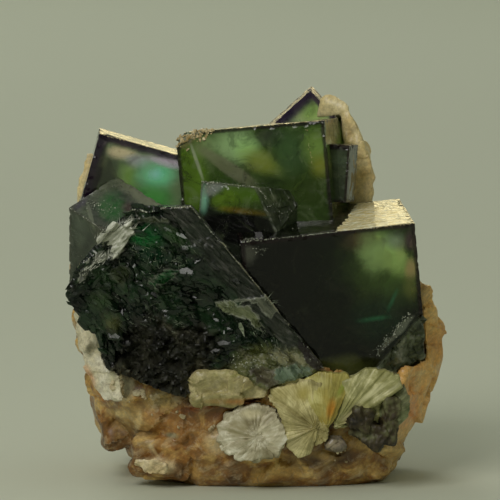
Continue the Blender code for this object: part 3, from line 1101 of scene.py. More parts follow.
@dataclass(frozen=True)
class RadiatingMica:
    """Silky blades that spread from a point, with fine lines along them."""

    name: str
    apex: Triple
    dark: Colour
    middle: Colour
    light: Colour
    tinge: Colour
    tinge_share: float = 0.4
    lines: float = 26.0
    roughness: float = 0.42
    zones: tuple[Zone, ...] = ()

    def make(self) -> bpy.types.Material:
        """Build the material about its apex."""
        finish = Finish(self.name)
        board = finish.board
        spread = board.mapping(finish.place, metres(self.apex))
        x, y, z = board.parts(spread)
        ray = board.node("ShaderNodeCombineXYZ")
        board.feed(ray.inputs[0], board.times(board.math("ARCTAN2", x, z), self.lines))
        board.feed(ray.inputs[1], board.times(board.vector("LENGTH", spread), 260.0))
        board.feed(ray.inputs[2], board.times(y, 1800.0))
        silk = board.noise(ray.outputs[0], 1.0, detail=5.0, rough=0.6)
        cloud = board.noise(finish.place, 330.0, detail=5.0, rough=0.65, warp=0.5)
        tone = board.plus(board.times(silk, 0.28), board.times(cloud, 0.72))
        colour = board.ramp(tone, (0.38, self.dark), (0.5, self.middle), (0.62, self.light))
        for zone in self.zones:
            colour = zone.lay(board, finish.place, colour)
        patch = board.noise(finish.place, 260.0, detail=3.0, rough=0.6)
        finish.set(
            Base_Color=board.wash(colour, patch, (0.42, 0.7, self.tinge_share, self.tinge)),
            Roughness=board.remap(silk, 0.3, 0.7, self.roughness * 1.5, self.roughness * 0.7),
            Normal=board.bump(silk, 0.04, 0.25),
        )
        return finish.material


@dataclass(frozen=True)
class Schorl:
    """Black striated prisms with a faint green or brown tinge."""

    name: str = "black_prism"

    def make(self) -> bpy.types.Material:
        """Build the material."""
        finish = Finish(self.name)
        board = finish.board
        ribs = board.noise(board.mapping(finish.place, size=(1.0, 1.0, 0.15), into=False), 2600.0, detail=3.0)
        patch = board.noise(finish.place, 420.0, detail=3.0, rough=0.6)
        browns = ((0.35, tint(28, 22, 12)), (0.5, tint(58, 48, 26)), (0.66, tint(110, 112, 74)))
        colour = board.ramp(patch, *browns)
        finish.set(
            Base_Color=board.wash(colour, ribs, (0.6, 0.8, 0.5, tint(128, 122, 92))),
            Roughness=board.remap(ribs, 0.3, 0.7, 0.42, 0.7),
            Normal=board.bump(ribs, 0.1, 0.8),
        )
        return finish.material


# Fluorite


@dataclass
class FluoriteCube:
    """One cube of the cluster, with broken corners, nicked edges and low growth steps on its faces."""

    name: str
    cube: CubeFrame
    finish: ZonedFluorite
    breaks: tuple[tuple[Triple, Triple], ...] = ()
    node: str = "fluorite_cluster"
    edge_width: float = 0.10
    nick_depth: float = 0.28
    nick_grain: float = 0.8
    scar_depth: float = 1.0
    step_height: float = 0.035
    depth: int = 5
    seed: int = 1

    def build(self) -> Piece:
        """Model the cube and dress it."""
        piece = self.block()
        self.refine(piece)
        self.wear(piece)
        return dress(piece, self.finish.make(self.cube), 20.0)

    def block(self) -> Piece:
        """Add the cube, cut its breaks and bevel its edges."""
        planes = ((metres(point), Vector(facing).normalized()) for point, facing in self.breaks)
        piece = cut_off(self.cube.block(self.name), *planes)
        return modify(piece, "BEVEL", width=self.edge_width * MM, segments=2)

    def refine(self, piece: Piece) -> None:
        """Lay an even net over the faces and split it finely near the edges."""
        modify(
            piece, "REMESH", mode="SHARP", octree_depth=self.depth, scale=0.95, use_remove_disconnected=False
        )
        near = self.edge_distance(self.crystal_points(piece)) < 1.0
        near |= self.broken(points_of(piece)) > 0.0
        for face in piece.data.polygons:
            face.select = any(near[i] for i in face.vertices)
        bpy.ops.object.mode_set(mode="EDIT")
        bpy.ops.mesh.select_mode(type="FACE")
        bpy.ops.mesh.subdivide(number_cuts=3)
        bpy.ops.object.mode_set(mode="OBJECT")

    def broken(self, points: np.ndarray) -> np.ndarray:
        """1 on the faces where a corner has broken off, 0 elsewhere, at each point in millimetres."""
        found = np.zeros(len(points))
        for point, facing in self.breaks:
            normal = np.array(facing) / np.linalg.norm(facing)
            found = np.maximum(found, 1.0 - ease(-(points - np.array(point)) @ normal, 0.15, 0.4))
        return found

    def crystal_points(self, piece: Piece) -> np.ndarray:
        """A piece's points in the cube's own frame."""
        inverse = np.linalg.inv(self.cube.matrix())
        return points_of(piece) @ inverse[:3, :3].T + inverse[:3, 3]

    def edge_distance(self, points: np.ndarray) -> np.ndarray:
        """How far each point of the cube's frame lies from the nearest edge."""
        away = np.sort(np.array(self.cube.size) / 2.0 - np.abs(points), axis=1)
        return away[:, 1]

    def wear(self, piece: Piece) -> None:
        """Nick the edges at random places and step the faces a little."""
        points = self.crystal_points(piece)
        half = np.array(self.cube.size) / 2.0
        near = np.clip(1.0 - self.edge_distance(points) / 0.7, 0.0, 1.0)
        chips = field_noise(points, self.nick_grain, self.seed * 7.3, 3)
        pull = np.maximum(0.0, chips - 0.05) * near * self.nick_depth
        inward = points / half
        inward /= np.linalg.norm(inward, axis=1)[:, None]
        terraces = np.round(field_noise(points, 5.0, self.seed * 3.1) * 3.0) * self.step_height
        facing = np.abs(points) / half
        flat = (facing == facing.max(axis=1)[:, None]) * np.sign(points)
        points = points - inward * pull[:, None] + flat * (terraces * (1.0 - near))[:, None]
        forward = self.cube.matrix()
        points = points @ forward[:3, :3].T + forward[:3, 3]
        scar = self.broken(points)
        if scar.any():
            shards = Facets((0.5, 0.3, -0.8), (0.7, 0.3, 0.6), 0.9, 0.4, 0.25, 1.5, self.seed).relief(points)
            jagged = shards + field_noise(points, 0.8, self.seed * 2.7, 3) * 0.25
            points -= normals_of(piece) * (np.clip(jagged + 0.1, -0.1, 0.8) * scar * self.scar_depth)[:, None]
        move_points(piece, points)
        store(piece, "broken", scar)


WHITE_OUTLINE = (
    (-17.7, 29.0), (-17.3, 29.5), (-16.8, 29.6), (-15.9, 29.6), (-15.0, 30.3), (-13.6, 31.2), (-13.8, 30.3),
    (-13.5, 29.7), (-14.1, 28.9), (-14.5, 28.2), (-15.1, 27.2), (-16.0, 26.5), (-15.8, 27.2), (-16.3, 27.4),
    (-15.9, 28.1), (-16.6, 28.2), (-16.2, 28.8), (-17.0, 28.5),
)


@dataclass
class BrokenCrystal:
    """The big front crystal: a slab with a chipped, swirling fracture and a smoother right edge."""

    name: str = "fluorite_broken_crystal"
    outline: tuple[tuple[float, float], ...] = (
        (-14.6, 31.6), (-13.0, 32.5), (-7.1, 32.6), (-1.6, 26.1), (7.9, 14.3), (5.9, 13.2), (1.1, 12.0),
        (-3.4, 13.9), (-6.4, 13.7), (-7.7, 10.8), (-13.1, 12.6), (-16.7, 14.1), (-18.0, 18.3),
        (-21.4, 22.4), (-19.7, 26.1),
    )
    front: float = -14.0
    thickness: float = 11.0
    back_scale: float = 0.93
    voxel: float = 0.18
    shards: int = 520
    seed: int = 61
    band_edge: tuple[tuple[float, float], tuple[float, float]] = ((-7.6, 32.4), (8.2, 14.0))
    finish: BrokenFluorite = BrokenFluorite(
        # The bright emerald zones paint the glow of light shining through the crystal.
        zones=on_level(
            (-13.0, 4.0),
            Zone((-12.0, 28.8), (2.4, 2.0), tint(28, 134, 62), 0.9, soft=0.9, wobble=0.5),
            Zone((-13.2, 28.9), (1.2, 0.9), tint(42, 172, 87), 0.8, soft=0.9, wobble=0.4),
            Zone((-8.8, 29.2), (3.2, 1.0), tint(60, 98, 48), 0.85, slant=38.0, wobble=0.4),
            Zone((-11.0, 27.0), (4.2, 1.3), tint(16, 72, 44), 0.7, slant=12.0, wobble=0.6),
            Zone((-16.6, 24.4), (2.4, 2.0), tint(40, 68, 34), 0.8, slant=20.0, wobble=0.5),
            Zone((-17.2, 22.2), (1.9, 2.0), tint(66, 92, 50), 0.7, slant=20.0, wobble=0.5),
            Zone((-16.0, 19.6), (1.5, 2.4), tint(118, 124, 74), 0.8, slant=-32.0, wobble=0.5),
            Zone((-6.0, 24.0), (3.0, 1.8), tint(26, 48, 30), 0.8, slant=40.0, wobble=0.5),
            Zone((-2.0, 17.6), (3.2, 2.6), tint(18, 34, 22), 0.8, wobble=0.4),
            Zone((0.6, 16.0), (2.8, 1.5), tint(92, 98, 36), 0.8, wobble=0.4),
            Zone((3.4, 18.6), (2.2, 2.2), tint(64, 68, 46), 0.7, wobble=0.4),
        ),
        sheets=(
            PalePatch(
                "white_sheet", WHITE_OUTLINE, tint(150, 154, 134), tint(244, 244, 232), lift=0.3, torn=0.3,
            ),
            PalePatch(
                "white_tail", ((-18.8, 26.5), (-17.9, 27.1), (-16.3, 27.2), (-16.6, 26.7), (-17.9, 26.3)),
                tint(110, 116, 100), tint(226, 226, 212), torn=0.6,
            ),
            PalePatch(
                "grey_tail", ((-19.9, 24.4), (-19.0, 25.7), (-18.5, 25.7), (-19.3, 24.2)), tint(70, 76, 66),
                tint(150, 152, 142), torn=0.5,
            ),
            PalePatch(
                "olive_sheet",
                (
                    (-4.4, 21.5), (-3.1, 21.9), (-2.3, 21.9), (-1.7, 21.4), (-0.7, 21.3), (0.3, 20.4),
                    (0.7, 18.9), (0.1, 19.0), (-0.6, 19.8), (-1.3, 20.3), (-1.7, 20.1), (-2.6, 20.4),
                    (-3.5, 20.6), (-4.2, 21.1),
                ),
                tint(92, 104, 66), tint(156, 164, 122), lift=0.2, torn=0.25, rim=0.6,
            ),
            PalePatch(
                "grey_sheet",
                (
                    (-2.1, 22.0), (-1.0, 22.1), (0.3, 22.4), (1.1, 22.1), (1.4, 22.6), (2.1, 21.8),
                    (2.6, 20.7), (1.9, 20.0), (0.9, 20.8), (0.3, 21.7), (-1.0, 21.9),
                ),
                tint(74, 82, 66), tint(142, 146, 124), lift=0.2, torn=0.3, rim=0.5,
            ),
            PalePatch(
                "cream_dust",
                ((2.2, 15.7), (3.4, 16.2), (5.0, 16.0), (6.2, 15.0), (5.4, 14.2), (3.6, 14.4), (2.4, 14.8)),
                tint(84, 84, 52), tint(196, 192, 150), 0.85, 0.1, 0.9, 1.2, 0.2,
            ),
            PalePatch(
                "turquoise_foot",
                ((2.6, 14.4), (4.4, 14.6), (6.0, 14.2), (7.2, 13.3), (5.4, 12.9), (2.6, 12.4), (1.8, 13.2)),
                tint(92, 118, 92), tint(164, 188, 162), 0.85, 0.1, 0.5, 0.6, 0.3,
            ),
            PalePatch(
                "violet_foot",
                ((0.3, 14.6), (1.8, 14.2), (2.6, 12.4), (1.3, 12.0), (0.4, 12.6), (-0.6, 13.8)),
                tint(78, 66, 54), tint(140, 132, 104), 0.8, 0.0, 0.8, 0.8, 0.1,
            ),
            PalePatch(
                "dark_wedge",
                ((4.9, 17.6), (6.2, 16.6), (8.0, 14.4), (7.2, 13.9), (5.8, 14.9), (4.9, 16.4)),
                tint(20, 14, 18), tint(56, 44, 52), 0.9, 0.0, 0.6, 0.3, 0.0,
            ),
            PalePatch(
                "green_leaf",
                (
                    (-12.1, 23.8), (-11.4, 24.5), (-10.5, 25.1), (-9.4, 25.4), (-8.4, 25.4), (-9.2, 24.5),
                    (-10.1, 23.8), (-11.0, 23.5), (-12.0, 23.6),
                ),
                tint(14, 62, 30), tint(48, 122, 62), 0.9, 0.2, 0.25, 0.12, 0.25,
            ),
            PalePatch(
                "dark_plate",
                ((-16.2, 25.4), (-15.0, 25.9), (-13.9, 25.3), (-14.1, 24.3), (-15.0, 23.8), (-16.2, 24.3)),
                tint(46, 56, 32), tint(66, 78, 46), 0.85, 0.2, 0.3, 0.15, 0.1,
            ),
            PalePatch(
                "upper_ledge", ((-13.2, 31.3), (-9.6, 31.2), (-9.7, 30.8), (-13.2, 30.8)), tint(54, 64, 42),
                tint(104, 112, 84), 0.8, 0.25, 0.3, 0.2, 0.3,
            ),
        ),
    )
    guides: tuple[Triple, ...] = (
        (-16.0, 28.0, 46.0), (-18.5, 25.5, 52.0), (-11.5, 28.5, -8.0), (-9.0, 25.0, 8.0),
        (-9.0, 30.0, -38.0), (-13.5, 24.5, -70.0), (-17.0, 20.5, -58.0), (-12.5, 18.5, -42.0),
        (-9.0, 14.5, -14.0), (-5.0, 18.5, 18.0), (-3.5, 24.5, -48.0), (3.0, 18.5, -50.0),
    )

    def build(self) -> Piece:
        """Model the crystal and dress it."""
        corners = [(x, self.front, z) for x, z in self.outline]
        piece = voxel_remesh(slab(self.name, corners, self.thickness, self.back_scale), self.voxel)
        modify(piece, "SMOOTH", factor=0.5, iterations=3)
        self.shatter(piece)
        smooth_by_angle(piece, 28.0)
        plates, tones = self.strew(Ground([piece]))
        self.mark(piece)
        store(plates, "chip", tones)
        self.mark(plates)
        finish = self.finish.make()
        return join_all([dress(piece, finish), dress(plates, finish)], self.name)

    def grain(self, across: float, up: float) -> Vector:
        """The way that the cleavage runs at a place seen from the front."""
        way = Vector((0.0, 0.0, 0.0))
        for x, z, lean in self.guides:
            near = 1.0 / ((across - x) ** 2 + (up - z) ** 2 + 0.5) ** 1.5
            way += near * Vector((math.cos(math.radians(lean)), 0.0, math.sin(math.radians(lean))))
        return way.normalized()

    def strew(self, skin: Ground) -> tuple[Piece, np.ndarray]:
        """Lay thin cleavage plates on the fracture, each along the crystal's grain.

        Args:
            skin: the fracture.

        Returns:
            The plates as one piece, and each point's tone.
        """
        draw = random.Random(self.seed)
        places = []
        while len(places) < self.shards:
            met = skin.front(draw.uniform(-21.5, 8.2), draw.uniform(10.6, 32.7))
            if met is None or met[1].y > -0.35:
                continue
            at, normal = met
            masks = self.masks(np.array([at]))
            if draw.random() < 0.75 * masks["band"][0]:
                continue
            long_side = draw.uniform(0.7, 2.6) * (1.0 - 0.55 * masks["crumble"][0])
            long_side *= 1.0 - 0.4 * masks["haze"][0]
            tilt = Vector((draw.gauss(0.0, 0.24), -1.0, draw.gauss(0.0, 0.24)))
            facing = (normal * 0.5 + tilt).normalized()
            way = self.grain(at.x, at.z) + Vector((draw.gauss(0.0, 0.22), 0.0, draw.gauss(0.0, 0.22)))
            way = (way - facing * way.dot(facing)).normalized()
            sizes = (long_side, long_side * draw.uniform(0.22, 0.6), draw.uniform(0.1, 0.28))
            sides = (way * sizes[0], facing.cross(way) * sizes[1], facing * sizes[2])
            turned = Matrix.Scale(MM, 4) @ Matrix(sides).transposed().to_4x4()
            places.append(Matrix.Translation((at - facing * 0.02) * MM) @ turned)
        model = shard()
        count = len(model.data.vertices)
        tones = np.repeat([draw.random() for _ in places], count)
        return set_out(model, places, "cleavage_plates"), tones

    def mark(self, piece: Piece) -> None:
        """Keep the numbers that the finish reads with the skin or the plates."""
        points = points_of(piece)
        for name, values in self.masks(points).items():
            store(piece, name, values)
        deep = points[:, 1] - self.front
        store(piece, "back", ease(deep, 1.5, 4.0))
        for sheet in self.finish.sheets:
            store(piece, sheet.name, sheet.mask(points) * (1.0 - ease(deep, 1.2, 2.2)))
        # Where the painted highlight runs: along the top and upper right edges, on the front.
        sides = zip(self.outline[1:4], self.outline[2:5])
        rim = np.min([line_distance(points, start, end) for start, end in sides], axis=0)
        store(piece, "edge", (1.0 - ease(rim, 0.05, 0.3)) * (1.0 - ease(deep, 0.0, 0.5)))

    def masks(self, points: np.ndarray) -> dict[str, np.ndarray]:
        """Where the edge band, the black crumble and the dusty haze lie, from 0 to 1 at each point."""
        wander = field_noise(points, 2.5, 4.0, 2)
        band = 1.0 - ease(line_distance(points, *self.band_edge) + wander * 0.5, 1.7, 2.6)
        x, z = points[:, 0] + wander * 1.2, points[:, 2] + wander * 1.2
        crumble = ease(20.6 - z - 0.25 * np.abs(x + 11.0), 0.0, 1.6) * ease(-4.2 - x, -1.0, 1.5)
        crumble *= ease(x + 17.2 - 0.35 * (z - 12.0), 0.0, 1.0)
        haze = ease(17.2 - z + 0.12 * x, 0.0, 2.8) * ease(x + 3.4, 0.0, 2.0)
        return {"band": band * (1.0 - 0.5 * haze), "crumble": crumble, "haze": haze}

    def shatter(self, piece: Piece) -> None:
        """Chip the skin in three sizes, finest where the crystal crumbles and least on the band."""
        points = points_of(piece)
        normals = normals_of(piece)
        masks = self.masks(points)
        down_right = (0.62, 0.25, -0.74)
        up_right = (0.74, 0.2, 0.62)
        large, tone = Terraces(down_right, up_right, 4.2, 5.0, 0.34, 1.8, 5.0).relief(points)
        medium, tone_two = Terraces(down_right, up_right, 1.7, 4.0, 0.16, 2.6, 8.0).relief(points)
        small = Facets(up_right, down_right, 0.7, 0.45, 0.18, 2.2, 7).relief(points)
        swirl = points + field_noise(points, 5.0, 9.0)[:, None] * 1.6
        arcs = np.hypot(swirl[:, 0] - 2.0, (swirl[:, 2] - 34.0) * 0.8)
        ridges = np.abs(np.sin(arcs * 1.7)) ** 0.6
        rough = field_noise(points, 1.1, 2.0, 3)
        calm = 1.0 - 0.85 * masks["band"]
        height = (large + medium + ridges * 0.3 - 0.2) * calm + small * (0.1 + 1.3 * masks["crumble"])
        height += rough * 0.7 * masks["crumble"] - 0.7 * masks["crumble"] - 0.3 * calm
        front = ease(-normals[:, 1], 0.2, 0.8)
        skin = 0.14 * small + 0.1 * rough
        raised = sum(sheet.lift * sheet.mask(points) for sheet in self.finish.sheets)
        relief = np.clip(height + raised, -2.0, 0.55)
        move = relief * front + skin * (1.0 - front)
        lip = (1.0 - front) * (1.0 - ease(points[:, 1], self.front, self.front + 3.0))
        moved = points + normals * move[:, None]
        moved[:, 1] += np.maximum(-relief, 0.0) * lip
        move_points(piece, moved)
        store(piece, "chip", 0.55 * tone_two + 0.45 * tone)


def run_between(start: Triple, end: Triple, count: int, draw: random.Random, wander: float) -> list[Vector]:
    """Points strewn along a line.

    Args:
        start: the line's first end.
        end: its other end.
        count: how many points.
        draw: the source of chance.
        wander: how far a point may lie from the line.

    Returns:
        The points, in millimetres.
    """
    found = []
    for _ in range(count):
        point = Vector(start).lerp(Vector(end), draw.random())
        found.append(point + Vector(draw.gauss(0.0, wander) for _ in range(3)))
    return found


@dataclass(frozen=True)
class Run:
    """A line that crumbs are strewn along, how many and how big they are, and how far they stray."""

    start: Triple
    end: Triple
    count: int
    size: float
    stray: float = 0.06


@dataclass
class EdgeChips:
    """Bright crumbs of cleavage that catch the light along the crystals' edges; the golden ones paint glints
    of the warm light.
    """

    name: str = "edge_chips"
    runs: tuple[Run, ...] = ()
    finish: Cleavage = Cleavage("bright_chips", tint(120, 128, 108), tint(236, 236, 220), roughness=0.2)
    node: str = "fluorite_cluster"
    seed: int = 21

    def build(self, ground: Ground) -> Piece:
        """Model one chip and strew it along each run, on the nearest skin."""
        draw = random.Random(self.seed)
        places = []
        for run in self.runs:
            for point in run_between(run.start, run.end, run.count, draw, run.stray):
                side = run.size * draw.uniform(0.4, 1.5)
                turn = tuple(draw.uniform(0.0, 360.0) for _ in range(3))
                shape = (side, side * draw.uniform(0.4, 0.9), side * draw.uniform(0.3, 0.8))
                at = ground.rest(point, 2.5)
                if at is not None:
                    places.append(placed(tuple(at), turn, shape))
        return dress(set_out(chip(), places, self.name), self.finish.make())


@dataclass
class Sheet:
    """A thin ragged sheet, torn along its fibres."""

    name: str
    outline: tuple[tuple[float, float], ...]
    finish: Cleavage | RadiatingMica
    front: float = -14.1
    thickness: float = 0.8
    lean: float = 50.0
    tear: float = 0.35
    ribs: float = 0.14
    rib_grain: float = 0.3
    voxel: float = 0.09
    node: str = "fluorite_cluster"
    seed: int = 1

    def skin(self) -> Piece:
        """Tear the outline, extrude it and give it an even skin."""
        corners = self.torn(random.Random(self.seed))
        return voxel_remesh(slab(self.name, corners, self.thickness), self.voxel)

    def ways(self) -> tuple[np.ndarray, np.ndarray]:
        """The direction of the fibres and the one across them."""
        turn = math.radians(self.lean)
        across, up = math.sin(turn), math.cos(turn)
        return np.array((across, 0.0, up)), np.array((up, 0.0, -across))

    def torn(self, draw: random.Random) -> list[Triple]:
        """The outline with points added along its sides, pushed to and fro along the fibres."""
        along, _ = self.ways()
        found = []
        for start, end in zip(self.outline, self.outline[1:] + self.outline[:1]):
            length = math.dist(start, end)
            count = max(2, round(length / 0.22))
            for i in range(count):
                share = i / count
                push = draw.uniform(-1.0, 1.0) * self.tear * (0.4 if i else 0.1)
                x = start[0] + (end[0] - start[0]) * share + along[0] * push
                z = start[1] + (end[1] - start[1]) * share + along[2] * push
                found.append((x, self.front, z))
        return found


@dataclass
class SilkySheet(Sheet):
    """A ragged sheet whose fibres spread from one point, laid in overlapping leaves."""

    thickness: float = 1.4
    leaf: float = 14.0
    leaf_step: float = 0.3
    crown: float = 1.0

    def rays(self, points: np.ndarray) -> tuple[np.ndarray, np.ndarray]:
        """Each point's angle in degrees about the fibres' source, and its distance, seen from the front."""
        spread = points[:, (0, 2)] - np.array(self.finish.apex)[[0, 2]]
        return np.degrees(np.arctan2(spread[:, 0], spread[:, 1])), np.linalg.norm(spread, axis=1)

    def build(self) -> Piece:
        """Model the sheet, crown it and rib it along its rays."""
        piece = self.skin()
        points = points_of(piece)
        angle, reach = self.rays(points)
        rays = np.stack([angle / self.leaf, reach / 14.0, np.full(len(points), self.seed * 0.7)], axis=1)
        level = field_noise(rays, 1.0, self.seed * 1.3, 2) * 5.0
        leaves = (np.floor(level) + ease(level - np.floor(level), 0.75, 1.0)) / 5.0 * self.leaf_step
        fine = np.stack([angle / 2.2, reach / 5.0, points[:, 1] * 0.2], axis=1)
        ribs = 0.5 * self.ribs * field_noise(fine, 1.0, self.seed * 2.9, 3) * ease(reach, 0.5, 4.0)
        middle = points.mean(axis=0)
        away = np.linalg.norm((points - middle)[:, (0, 2)], axis=1)
        dome = self.crown * (1.0 - (away / away.max()) ** 2)
        forward = leaves + ribs + dome - self.crown * 0.6
        move_points(piece, points - np.array((0.0, 1.0, 0.0)) * forward[:, None])
        return dress(piece, self.finish.make(), 30.0)


@dataclass
class Flake(Sheet):
    """A thin ragged sheet of cleavage on the fracture, ribbed along its fibres."""

    def build(self, ground: Ground) -> Piece:
        """Model the sheet, drape it over the fracture, rib it along its fibres and dress it."""
        piece = self.skin()
        points = points_of(piece)
        along, across = self.ways()
        fibres = np.stack([points @ along / 5.0, points @ across, points[:, 1] * 0.3], axis=1)
        relief = self.ribs * field_noise(fibres, self.rib_grain, self.seed * 1.9, 3)
        relief += 0.3 * field_noise(points, 1.6, self.seed * 4.1)
        drop = []
        for across_at, _, up in points:
            met = ground.front(across_at, up)
            drop.append(0.0 if met is None else min(1.2, max(-0.4, met[0].y - self.front)) - 0.15)
        move_points(piece, points + np.array((0.0, 1.0, 0.0)) * (np.array(drop) * 0.8 - relief)[:, None])
        return dress(piece, self.finish.make(), 30.0)


@dataclass
class Crust(Sheet):
    """A thin worn crust on a cube's top face, pale golden to paint the warm light that the top reflects; its
    outline runs right and back in the cube's frame.
    """

    cube: CubeFrame = CubeFrame((0.0, 0.0, 0.0), (1.0, 1.0, 1.0), (0.0, 0.0, 0.0))

    def build(self) -> Piece:
        """Model the crust, lay it on the cube, pit it and dress it."""
        piece = self.skin()
        points = points_of(piece)
        top = self.cube.size[2] / 2.0 + 0.06
        rise = 0.05 * field_noise(points, 0.5, self.seed * 1.7, 3)
        cracks = field_noise(points * np.array((0.3, 1.0, 1.3)), 0.8, self.seed * 3.3, 2)
        rise -= 0.12 * ease(cracks, 0.56, 0.7)
        local = np.stack([points[:, 0], points[:, 2], top - points[:, 1] + rise], axis=1)
        place = self.cube.matrix()
        move_points(piece, local @ place[:3, :3].T + place[:3, 3])
        return dress(piece, self.finish.make(), 25.0)


@dataclass
class SplinterPatch:
    """A patch of splinters that lie nearly flat on the fracture, all about one way."""

    name: str
    start: Triple
    end: Triple
    count: int
    spread: float
    length: float
    width: float
    lean: float
    finish: Cleavage
    node: str = "fluorite_cluster"
    fan: float = 16.0
    seed: int = 1

    def build(self, ground: Ground) -> Piece:
        """Model one splinter and lay it out on the fracture."""
        draw = random.Random(self.seed)
        places = []
        for point in run_between(self.start, self.end, self.count, draw, self.spread):
            met = ground.front(point.x, point.z)
            point.y = (self.start[1] if met is None else met[0].y) + draw.gauss(-0.03, 0.06)
            long_side = self.length * draw.uniform(0.45, 1.3)
            wide = self.width * draw.uniform(0.5, 1.4)
            turn = (draw.gauss(0.0, 8.0), self.lean + draw.gauss(0.0, self.fan), draw.uniform(0.0, 90.0))
            places.append(placed(tuple(point), turn, (wide, wide * 0.7, long_side)))
        return dress(set_out(splinter(), places, self.name), self.finish.make())


# Matrix and its minerals


@dataclass
class RoughStone:
    """A CAD solid given the skin of real feldspar or quartz: swellings, cleavage steps and grain."""

    name: str
    node: str
    slot: str
    finish: Feldspar
    voxel: float = 0.25
    swell: float = 0.25
    grain: float = 3.0
    steps: float = 0.3
    cell: float = 1.6
    fine: float = 0.06
    grow: float = 0.1
    soften: int = 2
    base: float | None = None
    blocks: tuple[CubeFrame, ...] = ()
    seed: int = 1

    def build(self) -> Piece:
        """Copy the solid, grow its cleavage blocks, remesh it, roughen it and dress it."""
        piece = copy_node(self.node, self.name)
        blocks = [modify(block.block("block"), "BEVEL", width=0.5 * MM) for block in self.blocks]
        if blocks:
            piece = join_all([piece] + blocks, self.name)
        self.roughen(voxel_remesh(piece, self.voxel))
        modify(piece, "SMOOTH", factor=0.5, iterations=self.soften)
        return dress(piece, self.finish.make(), 32.0)

    def roughen(self, piece: Piece) -> None:
        """Move the skin along its normals, leaving a flat base flat."""
        points = points_of(piece)
        normals = normals_of(piece)
        nets = (
            ((0.9, 0.35, 0.2), (-0.2, 0.3, 0.93), self.seed),
            ((0.2, 0.95, 0.1), (-0.15, 0.1, 0.98), self.seed + 50),
        )
        first, side = (
            Facets(along, across, self.cell, 0.25, self.steps, 1.3, seed).relief(points)
            for along, across, seed in nets
        )
        sideways = np.abs(normals[:, 0]) / (np.abs(normals[:, 0]) + np.abs(normals[:, 1]) + 0.001)
        chips = first * (1.0 - sideways) + side * sideways
        swelling = field_noise(points, self.grain, self.seed * 2.3, 2)
        fine = field_noise(points, 0.7, self.seed * 5.9, 2)
        move = self.grow + self.swell * swelling + np.clip(chips, -0.6, 0.6) + self.fine * fine
        moved = points + normals * move[:, None]
        if self.base is not None:
            low = points[:, 2] < self.base + 0.4
            share = ease(points[:, 2], self.base + 0.1, self.base + 1.2)
            moved = points + (moved - points) * share[:, None]
            moved[:, 2] = np.where(low, points[:, 2], np.maximum(moved[:, 2], self.base))
        move_points(piece, moved)


@dataclass
class MicaFan:
    """A fan of silky mica: the CAD solid with rays on its skin, under broad ragged sheets."""

    name: str
    node: str
    slot: str
    sheets: tuple[SilkySheet, ...]
    grow: float = 0.1
    voxel: float = 0.16
    seed: int = 1

    def build(self) -> Piece:
        """Ray the solid, lay the sheets over it and join them."""
        body = copy_node(self.node, self.name)
        voxel_remesh(body, self.voxel)
        points = points_of(body)
        normals = normals_of(body)
        angle, reach = self.sheets[0].rays(points)
        rays = np.stack([angle / 7.0, points[:, 1] * 0.8, reach / 6.0], axis=1)
        ribs = field_noise(rays, 1.0, self.seed * 1.3, 3)
        move_points(body, points + normals * (self.grow + 0.2 * ribs)[:, None])
        dress(body, self.sheets[0].finish.make(), 35.0)
        return join_all([body] + [sheet.build() for sheet in self.sheets], self.name)


@dataclass
class BlackPrisms:
    """The dark prisms: the CAD clump with ribs along the prisms and worn edges."""

    name: str = "schorl_prisms"
    node: str = "dark_crystals"
    voxel: float = 0.12
    seed: int = 41

    def build(self) -> Piece:
        """Copy the clump, rib and round it, and dress it."""
        piece = copy_node(self.node, self.name)
        voxel_remesh(piece, self.voxel)
        points = points_of(piece)
        normals = normals_of(piece)
        ribs = field_noise(points * np.array((1.0, 1.0, 0.2)), 0.55, 3.0, 2)
        lumps = field_noise(points, 1.6, 8.0, 2)
        knobs = np.abs(field_noise(points, 1.2, 5.0, 2))
        outward = 0.1 + 0.12 * ribs + 0.3 * lumps + 0.5 * (0.35 - knobs)
        move_points(piece, points + normals * outward[:, None])
        return dress(piece, Schorl().make(), 40.0)


@dataclass
class LooseGrains:
    """Small pale grains of feldspar and quartz that sit in the matrix."""

    name: str = "matrix_grains"
    spots: tuple[tuple[Triple, float, int, float], ...] = ()
    finish: Cleavage = Cleavage("pale_grains", tint(170, 150, 112), tint(232, 222, 190), 900.0, 0.0, 0.5)
    seed: int = 51

    def build(self, ground: Ground) -> Piece:
        """Model one grain and set it out round each spot, on the nearest skin."""
        draw = random.Random(self.seed)
        places = []
        for centre, size, count, spread in self.spots:
            for _ in range(count):
                strays = (spread, spread * 0.3, spread)
                at = tuple(value + draw.gauss(0.0, stray) for value, stray in zip(centre, strays))
                side = size * draw.uniform(0.5, 1.4)
                turn = tuple(draw.uniform(0.0, 360.0) for _ in range(3))
                spot = ground.rest(Vector(at), 4.0)
                if spot is not None:
                    sizes = (side, side * 0.8, side * draw.uniform(0.5, 0.9))
                    places.append(placed(tuple(spot), turn, sizes))
        piece = modify(set_out(chip(), places, self.name), "BEVEL", width=0.03 * MM)
        return dress(piece, self.finish.make())


# Studio


